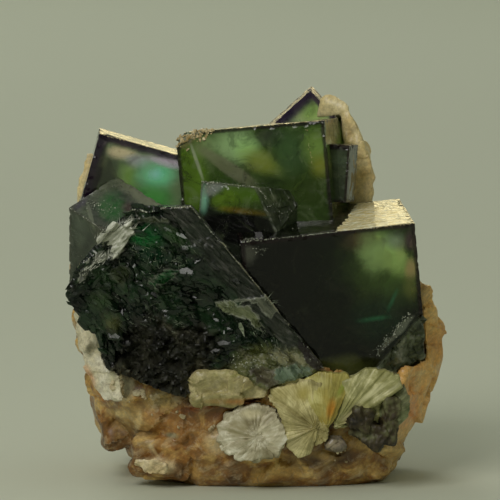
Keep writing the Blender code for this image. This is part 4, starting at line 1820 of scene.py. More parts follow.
@dataclass
class Studio:
    """A pale dish that curves up all round, soft lights and a long lens."""

    target: Vector = field(default_factory=lambda: Vector((-0.0005, 0.0, 0.0262)))
    distance: float = 0.6
    elevation: float = 6.0
    view_width: float = 0.0575
    radius: float = 1.25
    curve: float = 0.35
    steps: int = 10
    wall: float = 0.9

    def build(self) -> None:
        """Set up the whole studio."""
        self.dish()
        self.camera()
        self.lights()

    def dish(self) -> None:
        """A round floor whose edge curves up into a wall."""
        floor = primitive(
            bpy.ops.mesh.primitive_circle_add, "studio_floor", vertices=96, radius=self.radius,
            fill_type="NGON", location=(0, 0, 0),
        )
        bpy.ops.object.mode_set(mode="EDIT")
        bpy.ops.mesh.select_all(action="SELECT")
        bpy.ops.mesh.select_mode(type="EDGE")
        bpy.ops.mesh.region_to_loop()
        reach, height = self.radius, 0.0
        for i in range(1, self.steps + 2):
            angle = min(i, self.steps) * math.pi / 2.0 / self.steps
            out = self.radius + self.curve * math.sin(angle)
            up = self.curve * (1.0 - math.cos(angle)) + (self.wall if i > self.steps else 0.0)
            bpy.ops.mesh.extrude_edges_move(TRANSFORM_OT_translate={"value": (0.0, 0.0, up - height)})
            bpy.ops.transform.resize(value=(out / reach, out / reach, 1.0), center_override=(0, 0, 0))
            reach, height = out, up
        bpy.ops.object.mode_set(mode="OBJECT")
        finish = Finish("studio_sweep")
        tone = finish.board.noise(finish.place, 2.0)
        colour = finish.board.mix(tone, (0.60, 0.63, 0.50), (0.63, 0.66, 0.54))
        finish.set(Base_Color=colour, Roughness=0.9)
        dress(floor, finish.material, 40.0)

    def camera(self) -> None:
        """A long lens a little above the specimen's level."""
        data = bpy.data.cameras.new("studio_camera")
        camera = bpy.data.objects.new("studio_camera", data)
        bpy.context.scene.collection.objects.link(camera)
        tilt = math.radians(self.elevation)
        camera.location = self.target + Vector((0.0, -math.cos(tilt), math.sin(tilt))) * self.distance
        camera.rotation_euler = (math.pi / 2.0 - tilt, 0.0, 0.0)
        data.sensor_width = 36.0
        data.lens = data.sensor_width * self.distance / self.view_width
        data.clip_start = 0.01
        data.clip_end = 10.0
        bpy.context.scene.camera = camera

    def lamp(self, name: str, place: Triple, aim: Triple, size: tuple[float, float], glow: float,
             colour: Colour) -> Piece:
        """Add one soft rectangular light.

        Args:
            name: the light's name.
            place: where it stands, in metres.
            aim: the point that it faces, in metres.
            size: its width and height in metres.
            glow: how bright its face is.
            colour: its colour.

        Returns:
            The light.
        """
        data = bpy.data.lights.new(name, "AREA")
        data.shape = "RECTANGLE"
        data.size, data.size_y = size
        data.energy = glow * math.pi * size[0] * size[1]
        data.color = colour
        light = bpy.data.objects.new(name, data)
        bpy.context.scene.collection.objects.link(light)
        light.location = place
        light.rotation_euler = (Vector(aim) - Vector(place)).to_track_quat("-Z", "Y").to_euler()
        light.visible_camera = False
        return light

    def lights(self) -> None:
        """A soft key from the front left, a warm low light from behind and an even fill from above.

        The warm light is kept off the floor, which stays one plain colour.
        """
        middle = (0.0, 0.0, 0.022)
        self.lamp("key_light", (-0.30, -0.55, 0.50), middle, (0.40, 0.40), 5.0, (1.0, 0.98, 0.93))
        warm = self.lamp("warm_back_light", (0.02, 0.60, 0.155), middle, (0.34, 0.12), 2.6, (1.0, 0.82, 0.42))
        floor = (-0.15, 0.85, 0.0)
        self.lamp("far_floor_light", (-0.35, 0.85, 0.95), floor, (0.6, 0.5), 3.0, (1.0, 1.0, 0.96))
        lit = bpy.data.collections.new("warm_light_falls_on")
        for piece in bpy.context.scene.objects:
            if piece.type == "MESH" and piece.name != "studio_floor":
                lit.objects.link(piece)
        warm.light_linking.receiver_collection = lit
        world = bpy.data.worlds.new("studio_world")
        bpy.context.scene.world = world
        world.use_nodes = True
        background = world.node_tree.nodes["Background"]
        background.inputs["Color"].default_value = (0.98, 1.0, 0.90, 1.0)
        background.inputs["Strength"].default_value = 0.30
        bpy.context.scene.view_settings.view_transform = "Standard"


# The specimen

FRONT_CUBE = FluoriteCube(
    "fluorite_front_cube",
    CubeFrame((8.5, -2.0, 21.1), (19.8, 17.5, 17.8), (3.8, -5.8, 3.7)),
    ZonedFluorite(
        "zoned_front_cube", body=through(5, 6, 3),
        # The bright green and yellow zones paint the glow of light shining through the crystal.
        zones=(
            Zone((4.7, 3.2), (11.4, 12.2), through(10, 19, 5), slant=6.0, soft=0.95),
            Zone((6.3, 4.4), (7.0, 6.8), through(52, 72, 25), slant=6.0, soft=0.95),
            Zone((3.8, 7.6), (3.4, 2.0), through(70, 62, 34), 0.9, slant=6.0, soft=0.9, wobble=0.3),
            Zone((5.6, 6.0), (3.5, 3.2), through(120, 148, 78), slant=26.0, soft=0.9, wobble=0.4),
            Zone((7.2, 4.8), (2.8, 2.2), through(116, 142, 69), slant=26.0, soft=0.9, wobble=0.4),
            Zone((7.5, 7.2), (2.0, 1.5), through(94, 106, 80), 0.9, slant=6.0, soft=0.9, wobble=0.4),
            Zone((9.0, 3.7), (1.0, 1.8), through(128, 116, 66), slant=6.0, soft=0.8, wobble=0.3),
            Zone((8.8, 1.7), (1.4, 2.0), through(76, 84, 32), 0.9, slant=6.0, soft=0.9, wobble=0.3),
            Zone((9.3, 7.0), (1.2, 1.7), through(56, 42, 40), 0.9, slant=6.0, soft=0.7, wobble=0.2),
            Zone((4.8, -1.5), (4.4, 3.9), through(15, 34, 16), 0.9, slant=-4.0, soft=0.9, wobble=0.3),
            Zone(
                (4.4, -1.5), (2.6, 0.45), through(30, 84, 46), 0.8, slant=-2.0, soft=0.9, wobble=0.5,
                depth=(-8.5, 3.0),
            ),
            Zone(
                (6.6, 0.4), (0.4, 2.0), through(30, 82, 46), 0.7, slant=28.0, soft=0.9, wobble=0.5,
                depth=(-8.5, 3.0),
            ),
            Zone((0.5, -6.6), (5.5, 1.8), through(64, 70, 28), 0.8, slant=6.0, soft=0.9, wobble=0.4),
            Zone(
                (7.0, -3.2), (3.3, 0.4), tint(176, 182, 162), 0.55, slant=-42.0, soft=0.9, wobble=1.4,
                depth=(-8.8, 3.0),
            ),
            Zone(
                (-9.3, 7.2), (1.6, 1.3), tint(120, 122, 108), 0.8, slant=-30.0, soft=0.9, wobble=1.0,
                depth=(-8.5, 3.0),
            ),
        ),
        # The cream-golden layer on the right part of the top face is painted sheen of the warm light, with
        # some settled dust.
        rim=tint(40, 26, 30), rim_width=0.62, dust=0.15, haze=0.0, veils=0.03, top_dust_and_sheen=0.3,
        dust_and_sheen_from=-0.4, dust_and_sheen_colour=tint(226, 214, 172),
        # The scar colours are made lighter to paint light onto the break, which faces down into shade.
        scar=(tint(66, 76, 54), tint(132, 142, 112), tint(232, 234, 216)), clearness=0.6, gloss=0.12,
        density=14.0,
    ),
    breaks=(((18.9, -10.9, 20.6), (0.55, -0.69, -0.47)), ((19.8, -8.0, 15.4), (0.60, -0.20, -0.77))),
    seed=2,
)
BACK_CUBE = FluoriteCube(
    "fluorite_back_cube",
    CubeFrame((1.2, 4.6, 33.1), (17.4, 12.2, 14.2), (-3.1, -5.9, -10.3)),
    ZonedFluorite(
        "zoned_back_cube", body=through(36, 54, 14),
        zones=(
            Zone((-7.5, 1.9), (2.8, 7.8), through(66, 92, 20), slant=6.0, soft=0.7),
            Zone((-5.6, 5.2), (2.2, 2.0), through(84, 98, 54), slant=6.0, soft=0.8, wobble=0.3),
            Zone((2.4, 5.6), (2.9, 1.8), through(40, 48, 30), slant=6.0, soft=0.8, wobble=0.3),
            Zone((-2.0, 5.1), (4.4, 2.9), through(108, 134, 80), slant=14.0, soft=0.8),
            Zone((-0.6, 4.5), (2.2, 1.8), through(124, 162, 88), slant=6.0, soft=0.9),
            Zone((1.1, 3.0), (4.0, 2.0), through(88, 98, 32), slant=34.0, soft=0.8),
            Zone((-2.6, 2.4), (6.1, 1.0), through(86, 88, 60), 0.8, slant=39.0, soft=0.5, wobble=0.12),
            Zone((1.6, 0.4), (2.9, 1.7), through(26, 40, 10), slant=6.0, soft=0.8),
            Zone((4.4, 3.8), (3.2, 4.4), through(46, 68, 32), slant=6.0, soft=0.8),
            Zone((7.7, 4.0), (2.6, 3.4), through(92, 118, 48), slant=6.0, soft=0.9),
            Zone((7.8, 1.9), (1.8, 2.2), through(96, 104, 32), slant=6.0, soft=0.9),
            Zone((5.9, -0.7), (4.0, 2.6), through(38, 54, 14), slant=6.0, soft=0.8),
            Zone(
                (-6.5, 3.7), (0.3, 3.3), through(130, 138, 104), 0.7, slant=-14.0, soft=0.7, wobble=0.1,
                depth=(-6.0, 2.0),
            ),
            # A pale golden patch at the top-left: painted reflection of the warm light.
            Zone(
                (-7.2, 6.2), (1.5, 0.8), tint(150, 140, 100), 0.85, slant=-30.0, soft=0.7, wobble=1.0,
                depth=(-6.0, 2.5),
            ),
        ),
        rim=tint(44, 32, 40), rim_width=0.55, clearness=0.48, gloss=0.4, density=6.0,
    ),
    breaks=(((-5.4, -1.0, 40.2), (-0.52, -0.15, 0.84)),), seed=3,
)
BACK_LEFT_CUBE = FluoriteCube(
    "fluorite_back_left_cube",
    CubeFrame((-13.51, 4.03, 33.04), (12.0, 7.0, 10.4), (0.5, 15.6, 2.0)),
    ZonedFluorite(
        "zoned_back_left_cube", body=through(80, 96, 62),
        zones=(
            Zone((-3.7, 1.0), (2.4, 4.4), through(50, 60, 38), slant=-16.0, soft=0.6, wobble=0.15),
            Zone((-1.5, 1.2), (1.8, 2.8), through(90, 116, 54), slant=-16.0, soft=0.9),
            Zone((-3.0, 3.6), (2.6, 1.0), through(196, 150, 108), slant=-8.0, soft=0.7),
            Zone((-0.8, 3.2), (2.4, 1.1), through(124, 128, 118), 0.9, slant=-4.0, soft=0.8),
            Zone((1.7, 2.2), (3.3, 2.6), through(84, 158, 106), slant=-16.0, soft=0.8),
            Zone((1.4, 2.3), (1.5, 1.1), through(110, 200, 140), slant=-16.0, soft=0.9, wobble=0.4),
            Zone((1.7, -0.6), (3.9, 2.4), through(62, 118, 52), slant=-16.0, soft=0.8),
            Zone((2.4, 4.0), (3.4, 0.8), through(150, 140, 196), slant=-2.0, soft=0.7),
            Zone((-5.8, 0.0), (1.5, 9.0), tint(22, 18, 28), 0.97, soft=0.3, wobble=0.12),
            Zone(
                (-5.3, 4.2), (0.5, 0.9), tint(196, 170, 190), 0.9, slant=20.0, soft=0.9, wobble=0.8,
                depth=(-3.5, 1.0),
            ),
        ),
        rim=tint(38, 20, 52), rim_width=1.15, rim_share=0.97, clearness=0.7, gloss=0.4, density=6.0,
    ),
    seed=4,
)
MIDDLE_CUBE = FluoriteCube(
    "fluorite_middle_cube",
    CubeFrame((0.0, -1.0, 29.0), (9.9, 10.3, 9.2), (-7.0, 3.5, -22.0)),
    ZonedFluorite(
        "zoned_middle_cube", body=through(30, 36, 22),
        zones=(
            Zone((0.6, 3.2), (5.8, 2.2), through(56, 82, 18), slant=2.0, soft=0.6),
            Zone((-1.8, 2.7), (2.6, 1.8), through(72, 98, 20), slant=-4.0, soft=0.8),
            Zone((1.1, 1.7), (4.4, 0.6), through(104, 82, 12), 0.8, soft=0.8, wobble=0.3),
            Zone((2.7, 2.2), (5.2, 1.4), through(28, 38, 12), 0.8, slant=-4.0, soft=0.8, wobble=0.3),
            Zone((1.5, -0.4), (8.0, 2.1), through(9, 10, 6), soft=0.3, wobble=0.1),
            Zone((-4.5, 2.7), (0.9, 2.4), through(100, 150, 110), 0.9, slant=-4.0, soft=0.7),
            Zone((5.0, 0.0), (0.7, DEEP), through(46, 54, 38), 0.95, soft=0.6, wobble=0.1),
            Zone(
                (-3.5, 3.9), (2.4, 1.1), through(104, 112, 92), 0.9, slant=-34.0, soft=0.7, wobble=0.3,
                depth=(-5.0, 3.0),
            ),
        ),
        rim=tint(120, 124, 104), rim_width=0.32, rim_share=0.6, dust=0.26, haze=0.5,
        scar=(tint(44, 52, 36), tint(66, 76, 54), tint(130, 136, 112)), clearness=0.45, gloss=0.4,
        density=6.0,
    ),
    breaks=(((2.95, -4.56, 31.96), (0.67, -0.56, 0.49)),), scar_depth=0.25, seed=5,
)
LEFT_CUBE = FluoriteCube(
    "fluorite_left_cube",
    CubeFrame((-16.0, 0.2, 26.7), (7.2, 7.8, 12.0), (27.0, 24.5, -37.0)),
    ZonedFluorite(
        "zoned_left_cube", body=through(40, 50, 32),
        zones=(
            Zone((-12.0, 33.6), (5.6, 2.8), through(96, 102, 70), 0.95, slant=34.0, soft=0.4, wobble=0.15),
            Zone((-17.6, 34.2), (2.2, 2.4), through(84, 94, 62), 0.9, soft=0.8, wobble=0.4),
            Zone((-18.4, 33.3), (1.9, 0.6), through(112, 118, 94), 0.9, slant=-20.0, soft=0.8, wobble=0.6),
            Zone((-16.2, 31.6), (2.2, 2.0), through(26, 78, 24), 0.95, slant=16.0, soft=0.6, wobble=0.3),
            Zone((-19.9, 32.3), (1.0, 1.5), through(56, 54, 56), 0.9, slant=30.0, soft=0.6, wobble=0.3),
            Zone((-19.9, 28.6), (1.2, 3.0), through(66, 78, 54), 0.9, soft=0.8, wobble=0.4),
            Zone((-18.6, 30.4), (0.35, 2.0), through(92, 100, 72), 0.8, slant=-18.0, soft=0.6, wobble=0.4),
            Zone((-14.4, 31.4), (1.2, 1.2), through(48, 32, 24), 0.9, soft=0.8, wobble=0.6),
            Zone((-17.4, 28.6), (1.3, 1.6), through(60, 62, 42), 0.9, soft=0.8, wobble=0.5),
        ),
        upright=True, rim=tint(110, 112, 98), rim_width=0.4, rim_share=0.55, dust=0.3, haze=0.6,
        clearness=0.55, gloss=0.45,
    ),
    seed=6,
)
SLIVER_CUBE = FluoriteCube(
    "fluorite_sliver_cube",
    CubeFrame((9.6, 1.6, 35.0), (3.4, 4.4, 6.6), (-3.5, 3.0, -14.0)),
    ZonedFluorite(
        "zoned_sliver_cube", body=through(50, 60, 38),
        zones=(
            Zone((-1.5, -0.4), (0.7, 2.6), tint(46, 24, 18), 0.9, wobble=0.7, depth=(0.0, 6.0)),
            Zone((0.6, 1.4), (1.4, 1.4), through(70, 84, 56), 0.8, depth=(0.0, 6.0)),
            Zone((0.0, 3.2), (3.0, 0.7), tint(40, 24, 44), 0.9, soft=0.5),
        ),
        rim=tint(52, 36, 38), rim_width=0.35, clearness=0.6, gloss=0.4,
    ),
    depth=4, seed=7,
)
TOP_CUBE = FluoriteCube(
    "fluorite_top_crystal_skin",
    CubeFrame((5.3, 12.7, 39.5), (4.8, 4.2, 8.0), (6.0, 47.5, 2.0)),
    ZonedFluorite(
        "zoned_top_cube", body=through(116, 132, 88),
        zones=(
            Zone((-0.6, 2.4), (2.0, 2.0), through(96, 124, 60), 0.9),
            Zone((-2.2, 0.0), (1.5, 9.0), tint(50, 30, 76), 0.95, soft=0.6, wobble=0.2),
            Zone((0.0, 4.0), (4.0, 0.6), tint(50, 30, 76), 0.95, soft=0.5, wobble=0.2),
        ),
        dust=0.0, haze=0.0, roughness=0.4, rim=tint(50, 32, 72), rim_width=0.75, rim_share=0.95,
        top_dust_and_sheen=0.0, clearness=0.8, gloss=0.2, density=6.0,
    ),
    node="fluorite_top_crystal", depth=4, seed=8,
)
CUBES = (FRONT_CUBE, BACK_CUBE, BACK_LEFT_CUBE, MIDDLE_CUBE, LEFT_CUBE, SLIVER_CUBE, TOP_CUBE)

WHITE_FIBRES = Cleavage(
    "white_cleavage", tint(150, 154, 134), tint(250, 250, 240), 1700.0, 0.05, 0.3, lean=46.0, stretch=4.0
)
PALE_HAIRS = Cleavage("pale_hairs", tint(110, 124, 100), tint(206, 214, 190), 1500.0, 0.2, 0.2)

FLAKES = (
    Flake(
        "white_fibrous_sheet", WHITE_OUTLINE + ((-17.6, 28.3),), WHITE_FIBRES, front=-14.2, thickness=0.5,
        lean=44.0, tear=0.5, ribs=0.3, seed=11,
    ),
    Flake(
        "white_fibrous_lobe",
        (
            (-16.8, 29.7), (-16.4, 30.4), (-15.9, 30.9), (-15.4, 30.7), (-15.1, 30.4), (-15.4, 30.0),
            (-15.8, 29.7),
        ),
        WHITE_FIBRES, front=-14.1, thickness=0.5, lean=44.0, tear=0.3, ribs=0.2, seed=12,
    ),
    Flake(
        "pale_leaf_spike",
        ((-1.8, 19.4), (-1.5, 19.5), (-1.2, 18.9), (-1.1, 17.7), (-1.5, 18.4), (-1.8, 18.9)), PALE_HAIRS,
        front=-14.1, thickness=0.3, lean=-20.0, tear=0.1, ribs=0.05, voxel=0.07, seed=13,
    ),
)

# A worn crust on the front cube's top, pale golden to paint the warm light that the top reflects.
SHEEN_CRUST = Crust(
    "top_crust_with_painted_sheen",
    (
        (0.9, -8.5), (4.0, -8.6), (9.6, -8.5), (9.7, -3.0), (9.6, 3.0), (9.4, 8.3), (5.0, 8.4), (4.0, 4.0),
        (3.2, 0.0), (2.2, -4.0),
    ),
    Cleavage("crust_with_painted_golden_sheen", tint(224, 202, 134), tint(255, 255, 226), 1900.0, 0.02, 0.18, 90.0, 1.6),
    front=0.0, thickness=0.24, lean=90.0, tear=0.8, voxel=0.1, cube=FRONT_CUBE.cube, seed=41,
)

PATCHES = (
    SplinterPatch(
        "white_splinters", (-17.4, -14.2, 28.4), (-13.9, -14.2, 30.4), 130, 0.4, 1.3, 0.10, 44.0,
        WHITE_FIBRES, fan=9.0, seed=11,
    ),
    SplinterPatch(
        "white_splinters_low", (-19.4, -14.1, 24.8), (-16.2, -14.1, 27.2), 90, 0.28, 1.0, 0.09, 46.0,
        WHITE_FIBRES, fan=14.0, seed=12,
    ),
    SplinterPatch(
        "pale_wisps", (-14.2, -14.1, 27.4), (-10.6, -14.0, 26.6), 70, 0.7, 0.9, 0.05, 60.0, PALE_HAIRS,
        fan=60.0, seed=19,
    ),
    SplinterPatch(
        "striped_wisps", (-10.2, -14.1, 30.4), (-7.2, -14.0, 28.2), 46, 0.5, 2.0, 0.045, 132.0, PALE_HAIRS,
        fan=7.0, seed=23,
    ),
    SplinterPatch(
        "middle_wisps", (-11.4, -14.2, 26.0), (-7.0, -14.2, 26.4), 34, 0.45, 1.0, 0.06, 80.0, PALE_HAIRS,
        fan=40.0, seed=24,
    ),
    SplinterPatch(
        "low_wisps", (-15.6, -14.1, 21.0), (-7.0, -14.0, 19.2), 80, 1.2, 1.1, 0.05, 118.0, PALE_HAIRS,
        fan=24.0, seed=25,
    ),
    SplinterPatch(
        "olive_wisps", (-4.2, -14.2, 21.4), (2.2, -14.2, 21.8), 60, 0.3, 0.8, 0.07, 80.0, PALE_HAIRS,
        fan=30.0, seed=20,
    ),
    SplinterPatch(
        "haze_wisps", (0.2, -14.2, 18.6), (2.6, -14.2, 16.4), 40, 0.5, 0.8, 0.07, 150.0, PALE_HAIRS,
        fan=40.0, seed=26,
    ),
)


def cube_edge(cube: CubeFrame, start: Triple, end: Triple, count: int, size: float) -> Run:
    """A run of chips along a cube's edge, its ends given in half sizes of the cube."""
    place = cube.matrix()
    half = np.array(cube.size) / 2.0
    ends = [place[:3, :3] @ (np.array(point) * half) + place[:3, 3] for point in (start, end)]
    return Run(tuple(ends[0]), tuple(ends[1]), count, size)


# Golden crumbs along the top edges, coloured to paint glints of the warm light.
GLINT_CHIPS = EdgeChips(
    name="edge_chips_with_painted_glints",
    finish=Cleavage("chips_with_painted_golden_glints", tint(170, 144, 88), tint(255, 240, 196), roughness=0.2),
    runs=(
        cube_edge(BACK_CUBE.cube, (-0.4, -1, 1), (1, -1, 1), 90, 0.15),
        cube_edge(BACK_CUBE.cube, (0.75, -1, 0.9), (0.8, -1, 0.2), 24, 0.13),
        Run((-9.0, 0.2, 38.8), (-5.0, -1.0, 40.2), 120, 0.4, 0.35),
        Run((-9.0, 2.0, 38.8), (-5.2, 2.0, 40.4), 90, 0.5, 0.6),
        cube_edge(BACK_LEFT_CUBE.cube, (-1, -1, 1), (1, -1, 1), 90, 0.15),
        cube_edge(FRONT_CUBE.cube, (0.3, -1, 1), (1, -1, 1), 60, 0.13),
    ),
    seed=22,
)
CHIPS = EdgeChips(
    runs=(
        cube_edge(FRONT_CUBE.cube, (-1, -1, 1), (0.1, -1, 1), 110, 0.17),
        cube_edge(FRONT_CUBE.cube, (-0.2, -1, 1), (1, -1, 1), 60, 0.12),
        Run((-1.2, -11.0, 29.2), (1.0, -11.0, 27.2), 90, 0.14, 0.35),
        cube_edge(MIDDLE_CUBE.cube, (-1, -1, 1), (1, -1, 1), 70, 0.16),
        Run((-6.4, -4.0, 34.2), (-4.8, -4.6, 33.4), 50, 0.16, 0.35),
        cube_edge(MIDDLE_CUBE.cube, (-1, -1, 1), (-1, -1, 0), 20, 0.12),
        Run((2.8, -7.0, 31.8), (4.6, -4.8, 31.0), 50, 0.13, 0.7),
        cube_edge(LEFT_CUBE.cube, (-1, -1, 1), (1, -1, 1), 40, 0.15),
        Run((-19.0, -4.0, 32.4), (-16.4, -4.6, 32.6), 60, 0.2, 0.5),
        Run((-14.6, -14.0, 31.9), (-7.1, -14.0, 32.7), 110, 0.2),
        Run((-7.1, -14.0, 32.7), (-1.6, -14.0, 26.1), 90, 0.14),
        Run((-1.6, -14.0, 26.1), (7.9, -14.0, 14.3), 60, 0.10),
        Run((-19.6, -14.0, 26.2), (-14.8, -14.0, 31.4), 40, 0.15),
        Run((17.8, -10.6, 20.0), (13.6, -11.3, 15.2), 130, 0.17, 0.24),
        Run((-2.6, -14.0, 15.4), (2.0, -14.0, 14.4), 60, 0.17, 0.5),
        Run((3.0, -14.0, 15.6), (6.4, -14.0, 14.8), 60, 0.13, 0.45),
    ),
)

MATRIX_ZONES = on_level(
    (-12.0, 19.0),
    Zone((-10.9, 10.3), (3.1, 1.9), shown(98, 84, 42), 0.9, soft=0.7, wobble=0.4),
    Zone((-9.3, 6.3), (5.3, 4.1), shown(132, 90, 40), 0.8, soft=0.9, wobble=0.4),
    Zone((-6.6, 9.3), (3.0, 0.7), shown(122, 66, 26), 0.9, slant=-8.0, soft=0.8, wobble=0.4),
    Zone((-13.3, 7.2), (0.6, 2.1), shown(206, 186, 140), 0.9, slant=10.0, soft=0.7, wobble=0.3),
    Zone((-11.6, 4.5), (0.4, 2.1), shown(196, 176, 132), 0.9, slant=-35.0, soft=0.7, wobble=0.3),
    Zone((-10.7, 2.7), (2.9, 1.2), shown(206, 188, 148), 0.9, slant=8.0, soft=0.7, wobble=0.4),
    Zone((-17.7, 12.1), (1.4, 2.4), shown(178, 166, 128), 0.9, slant=-10.0, soft=0.7, wobble=0.4),
    Zone((-16.9, 10.4), (1.7, 1.5), shown(160, 104, 44), 0.9, soft=0.8, wobble=0.4),
    Zone((-16.2, 9.4), (0.9, 0.8), shown(76, 54, 28), 0.9, slant=20.0, soft=0.8, wobble=0.4),
    Zone((-15.4, 8.1), (2.3, 0.8), shown(184, 164, 118), 0.9, soft=0.8, wobble=0.4),
    Zone((-15.0, 11.6), (1.8, 1.8), shown(226, 220, 196), soft=0.5, wobble=0.6),
    Zone((-4.3, 5.5), (1.8, 2.0), shown(166, 154, 122), 0.8, soft=0.9, wobble=0.5),
    Zone((-1.6, 10.2), (4.9, 0.5), shown(146, 80, 20), 0.9, soft=0.7, wobble=0.3),
    Zone((-9.4, 6.1), (1.2, 0.6), shown(104, 108, 88), 0.8, soft=0.7, wobble=0.5),
    # A dark brown patch below the mica fans: painted shade.
    Zone((8.6, 3.6), (6.4, 2.0), shown(60, 38, 16), 0.9, slant=-4.0, soft=0.8, wobble=0.3),
    Zone((16.9, 7.6), (2.4, 4.1), shown(196, 136, 70), 0.9, slant=15.0, soft=0.8, wobble=0.4),
    Zone((-12.6, 5.4), (1.7, 2.2), shown(190, 166, 116), 0.8, slant=-14.0, soft=0.8, wobble=0.8),
    Zone((-4.6, 8.6), (3.4, 1.0), shown(102, 62, 26), 0.8, slant=10.0, soft=0.9, wobble=0.6),
    Zone((-2.6, 2.2), (6.0, 1.0), shown(120, 88, 52), 0.7, slant=-6.0, soft=0.9, wobble=0.8),
    Zone((-14.2, 7.6), (3.0, 3.6), shown(214, 180, 112), 0.6, slant=12.0, soft=0.8, wobble=0.7),
    Zone((16.1, 5.3), (1.5, 1.1), shown(206, 140, 96), 0.8, soft=0.8, wobble=0.4),
)

